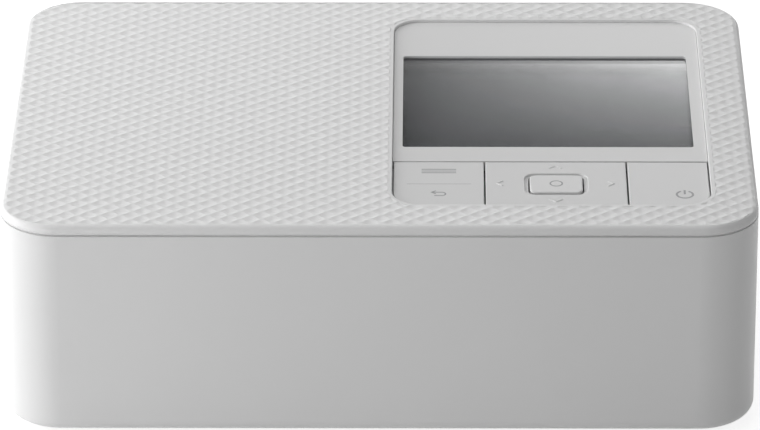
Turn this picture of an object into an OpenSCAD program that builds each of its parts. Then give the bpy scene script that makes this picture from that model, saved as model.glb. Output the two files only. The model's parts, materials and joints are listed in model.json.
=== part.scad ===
// Compact dye-transfer photo printer with a hinged front cover, a hinged ink door and a
// control panel let into its patterned top. Millimetres. Origin at the middle of the
// footprint on the table, +Z up, the front of the printer faces -Y.

/* [Body] */
// Width of the body, left to right
body_w = 182.2; // [178:0.2:200]
// Depth of the body, front to back
body_d = 133; // [131:0.5:145]
// Height from the table to the top
body_h = 57.6; // [57:0.2:64]
// Radius of the four upright corners
corner_r = 14; // [12:0.5:16]
// Thickness of the moulded walls
wall = 2; // [1.8:0.1:2.2]
// Radius of the round along the bottom edge
base_round = 3; // [2.6:0.1:3.4]
// Width of the flange that turns in under the body
base_flange = 2; // [1.6:0.1:2.4]
// Visible height of the top cover's edge band
lid_band = 2.6; // [2.4:0.1:3]
// Radius of the round along the top edge
lid_round = 1.6; // [1:0.1:2]
// Width of the smooth rim round the patterned field of the top
relief_rim = 1.7; // [1.6:0.05:2]
// Depth of that field below the rim, the height of its diamond relief
relief_h = 0.3; // [0.2:0.05:0.4]
// Open seam between the top cover and the body
seam_gap = 0.4; // [0.3:0.05:0.5]
// Clearance between neighbouring mouldings
fit_gap = 0.3; // [0.25:0.05:0.35]

/* [Feet and screws] */
// Height of the rubber feet below the body
foot_h = 2.2; // [2:0.1:3]
// Radius of a rubber foot
foot_r = 6.5; // [5:0.1:7]
// Distance of the foot centres from the nearest side of the body
foot_inset = 21; // [20:0.5:24]
// Shank radius of the housing screws
screw_r = 1.3; // [1.1:0.05:1.5]
// Length of the housing screws under the head
screw_len = 11; // [9:0.5:12]

/* [Front cover] */
// Distance of the cover's hinge line behind the front face
hinge_in = 6; // [5.8:0.1:6.3]
// Height of the cover's hinge line above the table
hinge_z = 7; // [6.8:0.1:7.4]
// Radius of the hinge pins
hinge_pin_r = 1.2; // [1:0.1:1.3]
// Depth of the side wings that wrap the corners, from the front face
wing_depth = 12; // [11:0.25:12.5]

/* [Ink door] */
// Length of the door along the side
door_len = 88; // [84:1:92]
// Height of the wall left above the door, up to the seam
door_above = 5; // [4.5:0.25:6]
// Height of the door's lower edge above the table
door_z = 18; // [17:0.5:19]
// Radius of the door's hinge barrel
barrel_r = 2.5; // [2.3:0.1:2.7]
// Radius of the door's hinge pins
door_pin_r = 1; // [0.8:0.1:1.2]
// Depth of the finger scoop in the front edge of the door
scoop = 1.1; // [0.8:0.1:1.3]

/* [Control panel] */
// Width of the recessed panel
panel_w = 77; // [75:0.5:79]
// Depth of the recessed panel, front to back
panel_d = 108; // [107:0.5:110]
// Corner radius of the panel
panel_r = 7; // [5:0.5:8]
// Distance of the panel from the right side of the body
panel_side = 11.1; // [10.5:0.1:12]
// Distance of the panel from the front of the body
panel_front = 13; // [12.5:0.1:14]
// Depth of the panel's face below the top
panel_drop = 0.8; // [0.6:0.1:1]
// Width of the slope round the panel's recess
panel_slope = 0.8; // [0.6:0.05:1]
// Width of the flat rim above that slope
panel_rim = 0.3; // [0.2:0.05:0.5]
// Width of the display window
lcd_w = 71.4; // [69:0.1:72]
// Depth of the display window, front to back
lcd_d = 53.6; // [50:0.1:55]
// Distance from the panel's left edge to the display window
lcd_side = 2.4; // [2:0.1:3]
// Distance from the panel's front edge to the display window
lcd_front = 33.4; // [32.5:0.1:35]
// Depth of the row of keys
key_d = 24.9; // [23:0.1:26]
// Width of the left-hand rocker key
menu_w = 21.9; // [20:0.1:24]
// Width of the middle key
nav_w = 34.2; // [32:0.1:36]
// Width of the OK key
ok_w = 12.8; // [12:0.1:14]
// Depth of the OK key
ok_d = 9.6; // [8.6:0.1:10]
// Gap round every key
key_gap = 0.35; // [0.3:0.05:0.45]
// Travel of a key
key_travel = 0.4; // [0.3:0.05:0.45]

/* [Paper path] */
// Width of the body beside the paper, for the drive, the frames and the door
beside_paper = 82.2; // [81.2:0.5:82.2]
// Room in the paper cassette bay on each side of the paper
bay_beside = 3; // [2.5:0.1:3.5]
// Height of the body that the paper cassette bay leaves to the rest
bay_above = 40.1; // [39.6:0.1:40.6]
// Depth of the body in front of and behind the paper cassette bay
bay_behind = 71; // [69:0.5:73]
// Height of the slot in the back for the paper
slot_h = 5; // [4.6:0.1:5.2]
// Radius of the platen roller
platen_r = 7; // [6:0.1:7.5]
// Radius of the capstan roller
capstan_r = 4; // [3.5:0.1:4.5]
// Radius of the pinch roller
pinch_r = 3; // [2.5:0.1:3.1]
// Radius of the paper pick-up roller
pick_r = 7.5; // [6.5:0.1:8]

/* [Ink cassette] */
// Length of the ink cassette beyond the width of the paper
cart_beyond = 26; // [24:0.5:27]
// Outer radius of the two spool tubes
tube_r = 9; // [8.8:0.1:9.2]
// Wall of the spool tubes
tube_t = 1.2; // [1:0.1:1.5]
// Distance between the two spools, as a share of the body's depth
spool_share = 0.3158; // [0.312:0.001:0.32]
// Travel of the cassette when the lever ejects it
eject_travel = 3; // [2.5:0.1:3.2]

/* [Mechanism] */
// Thickness of the sheet metal frames
sheet = 1.2; // [1:0.1:1.4]
// Gear module
gear_m = 1; // [1:0.1:1]
// Lift of the print head away from the platen, degrees
head_lift = 7.5; // [6.5:0.25:8]
// Radius of the roller shafts
shaft_r = 2.5; // [2.3:0.05:2.6]
// Radial clearance of a shaft in its bearing
run_gap = 0.05; // [0.03:0.01:0.08]

/* [Hidden] */
$fn = 48;

// Main planes of the housing
half_w = body_w / 2;
half_d = body_d / 2;
in_x = half_w - wall;                  // inner face of a side wall
in_y = half_d - wall;                  // inner face of the back wall
floor_z = foot_h + wall;               // upper face of the base tray
seam_z = body_h - lid_band;            // top of the body's walls
lid_under = body_h - wall;             // underside of the top cover
tray_inset = base_round + base_flange + fit_gap;
skirt_h = 2.4;                         // the lid's skirt reaches this far below the seam

// Sizes inside that follow the body
paper_w = body_w - beside_paper;
bay_w = paper_w + 2 * bay_beside;
bay_h = body_h - bay_above;
bay_len = body_d - bay_behind;
cart_len = paper_w + cart_beyond;
spool_pitch = body_d * spool_share;
door_h = seam_z - door_above - door_z;

// Front cover
hinge_y = -half_d + hinge_in;
wing_y = -half_d + wing_depth;         // back edge of the wings
wing_r = wing_depth - hinge_in;        // the wings' lower corners turn inside this radius
cover_top = seam_z;
lid_clear = seam_gap - 0.1;            // how far the swinging wings may rise towards the lid
swing_r = cover_top - hinge_z + lid_clear;
tray_front = hinge_y + hinge_z - foot_h + 0.4;
lug_t = 3;
lug_r = 2.4;
ear_t = 1.6;

// Paper path, from the back of the machine forwards
capstan_back = 9.5;                    // capstan axis in front of the back wall
capstan_y = in_y - capstan_back;
supply_y = capstan_y - 13;
takeup_y = supply_y - spool_pitch;
platen_y = (supply_y + takeup_y) / 2;
bay_floor = floor_z + 1.6;
bay_floor_t = 1.6;
sill_z = bay_floor + bay_floor_t;      // floor of the paper cassette bay
path_z = sill_z + bay_h + 0.6;         // plane that the paper runs in
platen_z = path_z - platen_r;
capstan_z = path_z - capstan_r;
pinch_z = path_z + 0.3 + pinch_r;

// Ink cassette, against the right-hand side
door_room = 3.6;                       // room between the cassette and the shut door
cart_x1 = in_x - door_room;
cart_x0 = cart_x1 - cart_len;
path_x = (cart_x0 + cart_x1) / 2;      // middle of the paper
bay_t = 1.5;
hinge_x = path_x + bay_w / 2 + bay_t + 0.4;   // the hinge ears stand just outside the bay
spool_z = path_z + 1 + tube_r;
rail_h = 3.4;                          // height of the end rails that join the tubes
rail_z = path_z + 1;
cart_end_t = 2.2;
film_z = path_z + 0.6;
film_t = 0.12;
journal_r = 4.8;
hex_r = 3.6;

// Frames
frame_l = cart_x0 - 4.7;               // outer face of the left frame
frame_r = cart_x1 - 3;                 // inner face of the right frame
frame_front = takeup_y - 33;
frame_back = in_y - 3.5;
frame_top = spool_z + tube_r + 5;

// Drive on the outside of the left frame: two gear layers, stepping outwards
layer_t = 3.6;
layer1_x = frame_l - 3.4 - layer_t;    // inner layer of gears
layer2_x = layer1_x - 1 - layer_t;     // outer layer
capstan_teeth = 16;
small_teeth = 12;
big_teeth = 24;
pinion_teeth = 10;
hub_teeth = 24;
pick_teeth = 24;

feed_can_r = 12;                       // the motor cans
ribbon_can_r = 9;

function pitch_r(n) = n * gear_m / 2;
function polar(a, r) = [r * cos(a), r * sin(a)];
function turn(p, a) = [p[0] * cos(a) - p[1] * sin(a), p[0] * sin(a) + p[1] * cos(a)];
// Angle of a tooth on the second gear of a pair, from the angle of one on the first
function mate(n1, a1, line, n2) = line + 180 + (180 - n1 * (a1 - line)) / n2;

// Gear centres in the plane of the frame, as [y, z]
capstan_c = [capstan_y, capstan_z];
gear_floor = 0.7;                      // room under the reduction gear
reduction_z = floor_z + pitch_r(big_teeth) + gear_m + gear_floor;
reduction_line = -180 + asin((capstan_z - reduction_z) / pitch_r(capstan_teeth + small_teeth));
reduction_c = capstan_c + polar(reduction_line, pitch_r(capstan_teeth + small_teeth));
motor_line = 140;
motor_c = reduction_c + polar(motor_line, pitch_r(big_teeth + pinion_teeth));
takeup_c = [takeup_y, spool_z];
supply_c = [supply_y, spool_z];
ribbon_line = -72;
ribbon_c = takeup_c + polar(ribbon_line, pitch_r(hub_teeth + pinion_teeth));
pick_line = 186.5;
pick_c = takeup_c + polar(pick_line, pitch_r(hub_teeth + pick_teeth));
capstan_a = 0;
small_a = mate(capstan_teeth, capstan_a, reduction_line, small_teeth);
big_a = 0;
feed_pinion_a = mate(big_teeth, big_a, motor_line, pinion_teeth);
hub_a = 0;
ribbon_pinion_a = mate(hub_teeth, hub_a, ribbon_line, pinion_teeth);
pick_a = mate(hub_teeth, hub_a, pick_line, pick_teeth);

// Print head, drawn lowered on the platen and stored lifted
head_c = [in_y - 6.5, spool_z + tube_r + 1.5];
head_half = 7.5;
head_x0 = path_x - paper_w / 2 - 3;
head_x1 = path_x + paper_w / 2 + 3;
head_z = film_z + film_t + 0.08;
arm_x0 = frame_l + sheet + 1.2;
arm_x1 = frame_r - 1.6;
peg_r = 1.5;
peg_up = [platen_y + 4, head_c[1] - 3];        // follower peg with the head lifted
peg_down = head_c + turn(peg_up - head_c, head_lift);
cam_c = [(peg_up[0] + peg_down[0]) / 2, peg_up[1] - 13.5];
cam_gap = 0.3;
cam_max = peg_up[1] - peg_r - cam_gap - cam_c[1];
cam_min = cam_max - (peg_up[1] - peg_down[1]);
cam_t = 2.6;

// Control panel
panel_x1 = half_w - panel_side;
panel_x = panel_x1 - panel_w / 2;
panel_y0 = -half_d + panel_front;
panel_y = panel_y0 + panel_d / 2;
panel_z = body_h - panel_drop;
lcd_x = panel_x1 - panel_w + lcd_side + lcd_w / 2;
lcd_y = panel_y0 + lcd_front + lcd_d / 2;
key_y0 = panel_y0 + key_gap;
key_y1 = key_y0 + key_d - key_gap;
key_y = (key_y0 + key_y1) / 2;
key_x0 = panel_x1 - panel_w + key_gap;
key_x1 = panel_x1 - key_gap;
nav_x0 = key_x0 + menu_w + key_gap;
nav_x1 = nav_x0 + nav_w;
nav_x = (nav_x0 + nav_x1) / 2;
power_x0 = nav_x1 + key_gap;
key_t = 1.8;
key_lip = 1;                           // flange that holds a key under the top cover
key_lip_z = lid_under - 0.8 - 0.8;     // underside of that flange
board_t = 1.2;
switch_h = 1.5;
key_board_z = panel_z - key_t - 4.4;   // underside of the key circuit board
window_z = panel_z - 0.6;              // upper face of the window
window_t = 1.2;
display_z = window_z - window_t - 1.6; // face of the display
display_t = 2.4;
display_margin = 1.2;
holder_t = 0.6;

// ------------------------------------------------------------------ shared shapes

// Rounded rectangle with true arcs
module rrect(w, d, r) {
    square([w - 2 * r, d], center = true);
    square([w, d - 2 * r], center = true);
    for (sx = [-1, 1], sy = [-1, 1])
        translate([sx * (w / 2 - r), sy * (d / 2 - r)]) circle(r);
}

module rprism(w, d, r, z0, z1) {
    translate([0, 0, z0]) linear_extrude(z1 - z0) rrect(w, d, r);
}

// Box from its lowest and highest corners
module block(lo, hi) {
    translate(lo) cube([hi[0] - lo[0], hi[1] - lo[1], hi[2] - lo[2]]);
}

// Carries a profile round a rounded rectangle. The profile's x is the distance from the
// corner centres, its y is the height.
module carry_round(w, d, r) {
    cx = w / 2 - r;
    cy = d / 2 - r;
    for (q = [[1, 1, 0], [-1, 1, 90], [-1, -1, 180], [1, -1, 270]])
        translate([q[0] * cx, q[1] * cy, 0]) rotate([0, 0, q[2]])
            rotate_extrude(angle = 90) children();
    for (e = [[cx, cy, 0, 2 * cy], [-cx, cy, 90, 2 * cx], [-cx, -cy, 180, 2 * cy], [cx, -cy, 270, 2 * cx]])
        translate([e[0], e[1], 0]) rotate([90, 0, e[2]]) linear_extrude(e[3]) children();
}

// Extrudes a [y, z] outline along X from x0 to x1
module along_x(x0, x1) {
    translate([x0, 0, 0]) rotate([90, 0, 90]) linear_extrude(x1 - x0) children();
}

module rod_x(c, r, x0, x1) {
    along_x(x0, x1) translate(c) circle(r);
}

module rod_y(x, z, r, y0, y1) {
    translate([x, y1, z]) rotate([90, 0, 0]) cylinder(r = r, h = y1 - y0);
}

module rod_z(x, y, r, z0, z1) {
    translate([x, y, z0]) cylinder(r = r, h = z1 - z0);
}

// One flank point of an involute tooth, as a radius and a half-angle from the tooth's middle
function inv_deg(a) = tan(a) * 180 / PI - a;
function flank_half(n, r, slack) =
    let (rb = pitch_r(n) * cos(20), a = r > rb ? acos(rb / r) : 0)
    90 / n + inv_deg(20) - inv_deg(a) - slack * 90 / n;
function gear_points(n, a0) =
    let (
        rp = pitch_r(n),
        ra = rp + 0.95 * gear_m,
        rr = rp - 1.2 * gear_m,
        rs = max(rr + 0.15, rp * cos(20)),
        radii = [rr, rs, (rs + rp) / 2, rp, (rp + ra) / 2, ra],
        slack = 0.1
    )
    [for (k = [0 : n - 1], side = [-1, 1], i = [0 : 5])
        let (
            r = side < 0 ? radii[i] : radii[5 - i],
            h = flank_half(n, max(r, rs), slack)
        )
        polar(a0 + k * 360 / n + side * h, r)];

module gear_outline(n, c, a0) {
    translate(c) polygon(gear_points(n, a0));
}

module hexagon(c, r, a0 = 0) {
    translate(c) rotate(a0) circle(r, $fn = 6);
}

// ------------------------------------------------------------------ housing

// Wall of the body with its rounded foot and turned-in flange
module skin_profile() {
    round_z = foot_h + base_round;
    translate([corner_r - wall, round_z]) square([wall, seam_z - round_z]);
    translate([corner_r - base_round, round_z]) intersection() {
        difference() {
            circle(base_round);
            circle(base_round - wall);
        }
        translate([0, -base_round]) square(base_round);
    }
    translate([corner_r - base_round - base_flange, foot_h]) square([base_flange, wall]);
}

module skin() {
    carry_round(body_w, body_d, corner_r) skin_profile();
}

// Space of the front cover; grow widens it for the clearance in the neighbours
module front_zone(grow) {
    big = body_w;
    along_x(-big, big) {
        translate([-2 * half_d, hinge_z]) square([2 * half_d + wing_y + grow, body_h]);
        translate([hinge_y, hinge_z]) circle(wing_r + grow, $fn = 96);
        translate([-2 * half_d, 0]) square([2 * half_d + hinge_y, hinge_z + 1]);
    }
}

// Opening of the ink door in the right-hand side, seen along X; grow widens it
door_y1 = capstan_y + 0.5;             // hinge axis of the door
door_y0 = door_y1 + barrel_r - door_len;
door_x = half_w - barrel_r;
door_sockets = [[door_z - 4, door_z - fit_gap], [door_z + door_h + fit_gap, seam_z - skirt_h - 0.2]];
module door_outline(grow) {
    r = 4;
    y1 = door_y1 + barrel_r;
    translate([door_y0 - grow, door_z - grow]) {
        translate([r, 0]) square([y1 - door_y0 + 2 * grow - r, door_h + 2 * grow]);
        translate([0, r]) square([r + 1, door_h + 2 * grow - 2 * r]);
        for (z = [r, door_h + 2 * grow - r]) translate([r, z]) circle(r);
    }
}

boss_r = 3;
boss_x = half_w - 8.5;
boss_front_y = -half_d + 19.5;
boss_top = 16;
pilot_r = screw_r + 0.05;
head_r = screw_r + 1.1;
bosses_back = [[-half_w + 11, half_d - 11], [half_w - 17, half_d - 9]];
module boss_places() {
    for (p = concat([[-boss_x, boss_front_y], [boss_x, boss_front_y]], bosses_back))
        translate([p[0], p[1], 0]) children();
}

// Screw towers of the body, each with a web to the nearest wall
module body_bosses() {
    difference() {
        union() {
            boss_places() rod_z(0, 0, boss_r, floor_z, boss_top);
            for (sx = [-1, 1])
                block([min(sx * boss_x, sx * (in_x + 0.5)), boss_front_y - 0.8, floor_z + 1],
                      [max(sx * boss_x, sx * (in_x + 0.5)), boss_front_y + 0.8, boss_top]);
            block([-in_x - 0.5, bosses_back[0][1] - 0.8, floor_z + 1],
                  [bosses_back[0][0], bosses_back[0][1] + 0.8, boss_top]);
            block([bosses_back[1][0] - 0.8, bosses_back[1][1], floor_z + 1],
                  [bosses_back[1][0] + 0.8, in_y + 0.5, boss_top]);
        }
        boss_places() rod_z(0, 0, pilot_r, floor_z - 1, boss_top - 1.4);
    }
}

// Sockets in the left-hand side, as [y, z] centres with width and height
port_board_z = floor_z + 8.5;          // underside of the main circuit board
port_board_t = 1.6;
bracket_y0 = ribbon_c[0] - ribbon_can_r - 1.5;
board_y0 = -half_d + 24.5;             // the main board ends short of the motor bracket
board_y1 = bracket_y0 - 1.4;
usb_a_size = [13.2, 5.8];
usb_a_y = board_y0 + usb_a_size[0] / 2 + 1;
usb_c_size = [9, 3.3];
usb_c_y = board_y1 - usb_c_size[0] / 2 - 1;
card_size = [26, 3.4];
card_y = (board_y0 + board_y1) / 2;
usb_a_z = port_board_z - usb_a_size[1] / 2;
usb_c_z = port_board_z - usb_c_size[1] / 2;
card_z = port_board_z + port_board_t + card_size[1] / 2;
port_gap = 0.4;
module port_cuts() {
    w = wall + 2;
    for (p = [[usb_a_y, usb_a_z, usb_a_size], [usb_c_y, usb_c_z, usb_c_size], [card_y, card_z, card_size]])
        block([-half_w - 1, p[0] - p[2][0] / 2 - port_gap, p[1] - p[2][1] / 2 - port_gap],
              [-half_w + w, p[0] + p[2][0] / 2 + port_gap, p[1] + p[2][1] / 2 + port_gap]);
}

inlet_x = -half_w + 24;
inlet_z = floor_z + 7;
inlet_size = [11, 10];
vent_pitch = 4;
vent_h = 13;
module back_cuts() {
    // paper slot
    block([path_x - paper_w / 2 - 3, in_y - 1, path_z - slot_h / 2],
          [path_x + paper_w / 2 + 3, half_d + 1, path_z + slot_h / 2]);
    // power inlet
    block([inlet_x - inlet_size[0] / 2 - fit_gap, in_y - 1, inlet_z - inlet_size[1] / 2 - fit_gap],
          [inlet_x + inlet_size[0] / 2 + fit_gap, half_d + 1, inlet_z + inlet_size[1] / 2 + fit_gap]);
    // air vents above the paper slot
    for (i = [-9 : 9])
        block([path_x + i * vent_pitch - 1, in_y - 1, path_z + 8],
              [path_x + i * vent_pitch + 1, half_d + 1, path_z + 8 + vent_h]);
}

module left_vents() {
    for (i = [0 : 8])
        block([-half_w - 1, 14 + i * vent_pitch - 1, floor_z + 8],
              [-in_x + 1, 14 + i * vent_pitch + 1, floor_z + 8 + vent_h]);
}

module middle_shell() {
    color("whitesmoke") difference() {
        union() {
            skin();
            body_bosses();
            // sockets for the ink door's hinge pins
            for (s = door_sockets)
                intersection() {
                    union() {
                        rod_z(door_x, door_y1, barrel_r, s[0], s[1]);
                        block([door_x, door_y1 - barrel_r, s[0]], [in_x + 0.5, door_y1 + barrel_r, s[1]]);
                    }
                    block([0, 0, 0], [half_w - 0.2, half_d, body_h]);
                }
        }
        front_zone(fit_gap);
        along_x(in_x - 6, half_w + 1) door_outline(fit_gap);
        for (s = door_sockets)
            rod_z(door_x, door_y1, door_pin_r + run_gap, s[0] - 0.2, s[1] + 0.2);
        port_cuts();
        back_cuts();
        left_vents();
    }
}

// Shallow lid: plate, rolled edge, skirt inside the walls and the panel's well
module top_cover() {
    color("white") difference() {
        union() {
            carry_round(body_w, body_d, corner_r) {
                translate([corner_r - lid_round, body_h - lid_round]) intersection() {
                    circle(lid_round);
                    square(lid_round);
                }
                translate([corner_r - lid_round - 1, seam_z + seam_gap])
                    square([lid_round + 1, lid_band - seam_gap - lid_round]);
                translate([corner_r - lid_round - 1, lid_under]) square([1, wall]);
                translate([corner_r - wall - fit_gap - 1.6, seam_z - skirt_h])
                    square([1.6, lid_under - seam_z + skirt_h]);
            }
            rprism(body_w - 2 * lid_round - 1, body_d - 2 * lid_round - 1,
                   corner_r - lid_round - 0.5, lid_under, body_h);
        }
        // field of the diamond relief
        difference() {
            rprism(body_w - 2 * relief_rim, body_d - 2 * relief_rim, corner_r - relief_rim,
                   body_h - relief_h, body_h + 1);
            translate([panel_x, panel_y, 0])
                rprism(panel_w + 2 * (panel_slope + panel_rim), panel_d + 2 * (panel_slope + panel_rim),
                       panel_r + panel_slope + panel_rim, lid_under, body_h + 2);
        }
        // recess of the panel with its sloping edge
        translate([panel_x, panel_y, 0]) {
            rprism(panel_w, panel_d, panel_r, lid_under - 1, body_h + 1);
            carry_round(panel_w, panel_d, panel_r) polygon([
                [panel_r - 1, panel_z - 0.01], [panel_r, panel_z], [panel_r + panel_slope, body_h],
                [panel_r + panel_slope, body_h + 1], [panel_r - 1, body_h + 1]]);
        }
    }
}

module base_tray() {
    ear_x0 = hinge_x + ear_t + fit_gap;
    color("gainsboro") difference() {
        union() {
            intersection() {
                rprism(body_w - 2 * tray_inset, body_d - 2 * tray_inset, corner_r - tray_inset,
                       foot_h, floor_z);
                block([-half_w, tray_front, 0], [half_w, half_d, body_h]);
            }
            // lugs for the front cover's hinge
            for (sx = [-1, 1]) {
                x0 = min(sx * ear_x0, sx * (ear_x0 + lug_t));
                along_x(x0, x0 + lug_t) {
                    translate([hinge_y, hinge_z]) circle(lug_r);
                    translate([hinge_y, hinge_z - lug_r])
                        square([tray_front - hinge_y + 4, bay_floor - 0.1 - hinge_z + lug_r]);
                    translate([tray_front, foot_h]) square([4, bay_floor - 0.1 - foot_h]);
                }
            }
            // stiffening ribs under the mechanism
            for (x = [path_x - 40, path_x, path_x + 40])
                block([x - 0.8, takeup_y + 16, floor_z - 0.1], [x + 0.8, in_y - 6, floor_z + 3]);
            // towers that carry the main circuit board
            for (y = [board_y0 + 3, board_y1 - 3])
                rod_z(board_x1 - 3, y, 2.6, floor_z - 0.1, port_board_z);
        }
        boss_places() {
            rod_z(0, 0, screw_r + 0.3, foot_h - 1, floor_z + 1);
            rod_z(0, 0, head_r + 0.1, foot_h - 1, foot_h + 0.9);
        }
        foot_places() rod_z(0, 0, foot_r + 0.1, foot_h - 1, foot_h + 0.5);
        for (sx = [-1, 1])
            rod_x([hinge_y, hinge_z], hinge_pin_r + run_gap,
                  sx * (ear_x0 + lug_t / 2) - lug_t, sx * (ear_x0 + lug_t / 2) + lug_t);
    }
}

foot_x = half_w - foot_inset;
foot_y = half_d - foot_inset;
module foot_places() {
    for (sx = [-1, 1], sy = [-1, 1]) translate([sx * foot_x, sy * foot_y, 0]) children();
}

module rubber_feet() {
    color("dimgray") foot_places() rotate_extrude() {
        square([foot_r, foot_h + 0.4]);
    }
}

module base_screws() {
    color("silver") boss_places() {
        difference() {
            rod_z(0, 0, head_r, foot_h + 0.1, foot_h + 0.9);
            for (a = [0, 90]) rotate([0, 0, a])
                block([-1.5, -0.3, foot_h - 1], [1.5, 0.3, foot_h + 0.5]);
        }
        rod_z(0, 0, screw_r, foot_h + 0.8, foot_h + screw_len);
    }
}

// Front cover: the whole front with both corners, its two hinge ears and its catches
catch_x = 46;
catch_z = seam_z - 5;
catch_w = 8;
fascia_y = hinge_y + 0.5;              // front face of the panel behind the cover
fascia_t = 2;
// The panel ends just inside the curve of the cover's corners
fascia_half = half_w - corner_r + sqrt(pow(corner_r - wall, 2) - pow(corner_r - hinge_in - 0.5, 2)) - 0.6;
module front_cover() {
    color("white") difference() {
        union() {
            intersection() {
                skin();
                front_zone(0);
                along_x(-body_w, body_w)
                    translate([hinge_y, hinge_z]) circle(swing_r, $fn = 192);
            }
            for (sx = [-1, 1]) {
                x0 = min(sx * hinge_x, sx * (hinge_x + ear_t));
                along_x(x0, x0 + ear_t) {
                    translate([hinge_y, hinge_z]) circle(lug_r);
                    translate([-half_d + wall - 0.5, hinge_z - 1.5]) square([hinge_in - wall + 0.5, 4.5]);
                }
                // catch tongue near the top edge
                translate([sx * catch_x, 0, 0]) {
                    block([-catch_w / 2, -half_d + wall - 0.5, catch_z],
                          [catch_w / 2, fascia_y + fascia_t + 1.2, catch_z + 1.2]);
                    block([-catch_w / 2, fascia_y + fascia_t + 0.4, catch_z + 1],
                          [catch_w / 2, fascia_y + fascia_t + 1.2, catch_z + 1.7]);
                }
            }
            // stiffening rib across the inside
            block([-half_w + corner_r + 4, -half_d + wall - 0.5, seam_z - 9.5],
                  [half_w - corner_r - 4, -half_d + wall + 1.2, seam_z - 8.3]);
        }
        for (sx = [-1, 1]) {
            lug_x = sx * (hinge_x + ear_t + fit_gap + lug_t / 2);
            // the flange clears the tray's lugs
            block([lug_x - lug_t / 2 - fit_gap, -half_d + base_round, foot_h - 1],
                  [lug_x + lug_t / 2 + fit_gap, hinge_y + 3, floor_z + 0.5]);
            rod_x([hinge_y, hinge_z], hinge_pin_r,
                  min(sx * (hinge_x + 0.5), sx * (hinge_x + ear_t + 1)),
                  max(sx * (hinge_x + 0.5), sx * (hinge_x + ear_t + 1)));
        }
    }
}

module front_hinge_pins() {
    color("silver") for (sx = [-1, 1]) {
        a = sx * (hinge_x + 0.6);
        b = sx * (hinge_x + ear_t + fit_gap + lug_t - 0.3);
        rod_x([hinge_y, hinge_z], hinge_pin_r, min(a, b), max(a, b));
    }
}

// Door over the ink cassette: panel, barrel at its back edge, scoop at its front edge
module ink_door() {
    color("white") difference() {
        union() {
            intersection() {
                along_x(in_x, half_w) door_outline(0);
                block([0, -half_d, 0], [half_w, door_y1, body_h]);
            }
            rod_z(door_x, door_y1, barrel_r, door_z, door_z + door_h);
            block([door_x, door_y1 - barrel_r - 3, door_z], [half_w - 0.4, door_y1, door_z + door_h]);
            // ribs on the inside
            for (z = [door_z + 2, door_z + door_h - 3])
                block([in_x - 1, door_y0 + 5, z], [in_x + 0.2, door_y1 - 8, z + 1]);
            // catch
            block([in_x - 2.2, door_y0 + 0.8, door_z + door_h / 2 - 3],
                  [in_x + 0.2, door_y0 + 2, door_z + door_h / 2 + 3]);
        }
        rod_z(door_x, door_y1, door_pin_r + run_gap, door_z - 1, door_z + door_h + 1);
        // finger scoop
        translate([half_w + 7 - scoop, door_y0, door_z + door_h / 2]) rotate([90, 0, 0])
            cylinder(r = 7, h = 5, center = true);
    }
}

module ink_door_pins() {
    color("silver") for (z = [[door_sockets[0][0] + 0.2, door_z + 6], [door_z + door_h - 6, door_sockets[1][1]]])
        rod_z(door_x, door_y1, door_pin_r, z[0], z[1]);
}

// ------------------------------------------------------------------ control panel

rail_w = 1.1;                          // rails beside the keys stand on the key circuit board
rail_in = panel_w / 2 + key_lip + 0.4;
glass_in = 2;                          // the window glass reaches this far past its opening
module panel_bezel() {
    flange_z = lid_under - 0.1;
    color("whitesmoke") difference() {
        translate([panel_x, 0, 0]) union() {
            // face plate behind the keys
            intersection() {
                translate([0, panel_y, 0])
                    rprism(panel_w - 0.2, panel_d - 0.2, panel_r - 0.1, flange_z - 1.3, panel_z);
                block([-panel_w, key_y1 + key_gap, 0], [panel_w, half_d, body_h]);
            }
            // flange under the top cover, and its rails beside and before the keys
            translate([0, panel_y, 0]) difference() {
                rprism(2 * (rail_in + rail_w), panel_d + 2 * (key_lip + 0.4 + rail_w), panel_r + 2.5,
                       flange_z - 1.3, flange_z);
                rprism(2 * rail_in, panel_d + 2 * (key_lip + 0.4), panel_r + 1.4, flange_z - 2, flange_z + 1);
            }
            translate([0, (key_y1 + key_gap + half_d) / 2, 0]) intersection() {
                translate([0, panel_y - (key_y1 + key_gap + half_d) / 2, 0])
                    rprism(2 * (rail_in + rail_w), panel_d + 2 * (key_lip + 0.4 + rail_w), panel_r + 2.5,
                           flange_z - 1.3, flange_z);
                block([-panel_w, (key_y1 + key_gap - half_d) / 2, 0], [panel_w, half_d, body_h]);
            }
            for (s = [-1, 1])
                block([s * (rail_in + rail_w / 2) - rail_w / 2, key_y0 + key_corner, key_board_z + board_t],
                      [s * (rail_in + rail_w / 2) + rail_w / 2, key_y1 - 1, flange_z]);
            // frame that the display's holder clips into
            translate([lcd_x - panel_x, lcd_y, 0])
                rprism(lcd_w + 2 * glass_in + 3, lcd_d + 2 * glass_in + 3, 2.5, display_z - 0.4, flange_z);
        }
        // window, stepped so that the glass sits in from below
        translate([lcd_x, lcd_y, 0]) {
            rprism(lcd_w, lcd_d, 0.8, display_z - 4, panel_z + 1);
            rprism(lcd_w + 2 * glass_in, lcd_d + 2 * glass_in, 1.5, display_z - 4, window_z);
        }
    }
}

module display_window() {
    color([0.5, 0.5, 0.5, 0.4]) translate([lcd_x, lcd_y, 0])
        rprism(lcd_w + 2 * glass_in - 0.2, lcd_d + 2 * glass_in - 0.2, 1.4, window_z - window_t, window_z);
}

module display_panel() {
    color("dimgray") translate([lcd_x, lcd_y, 0])
        rprism(lcd_w + 2 * display_margin, lcd_d + 2 * display_margin, 1, display_z - display_t, display_z);
}

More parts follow.
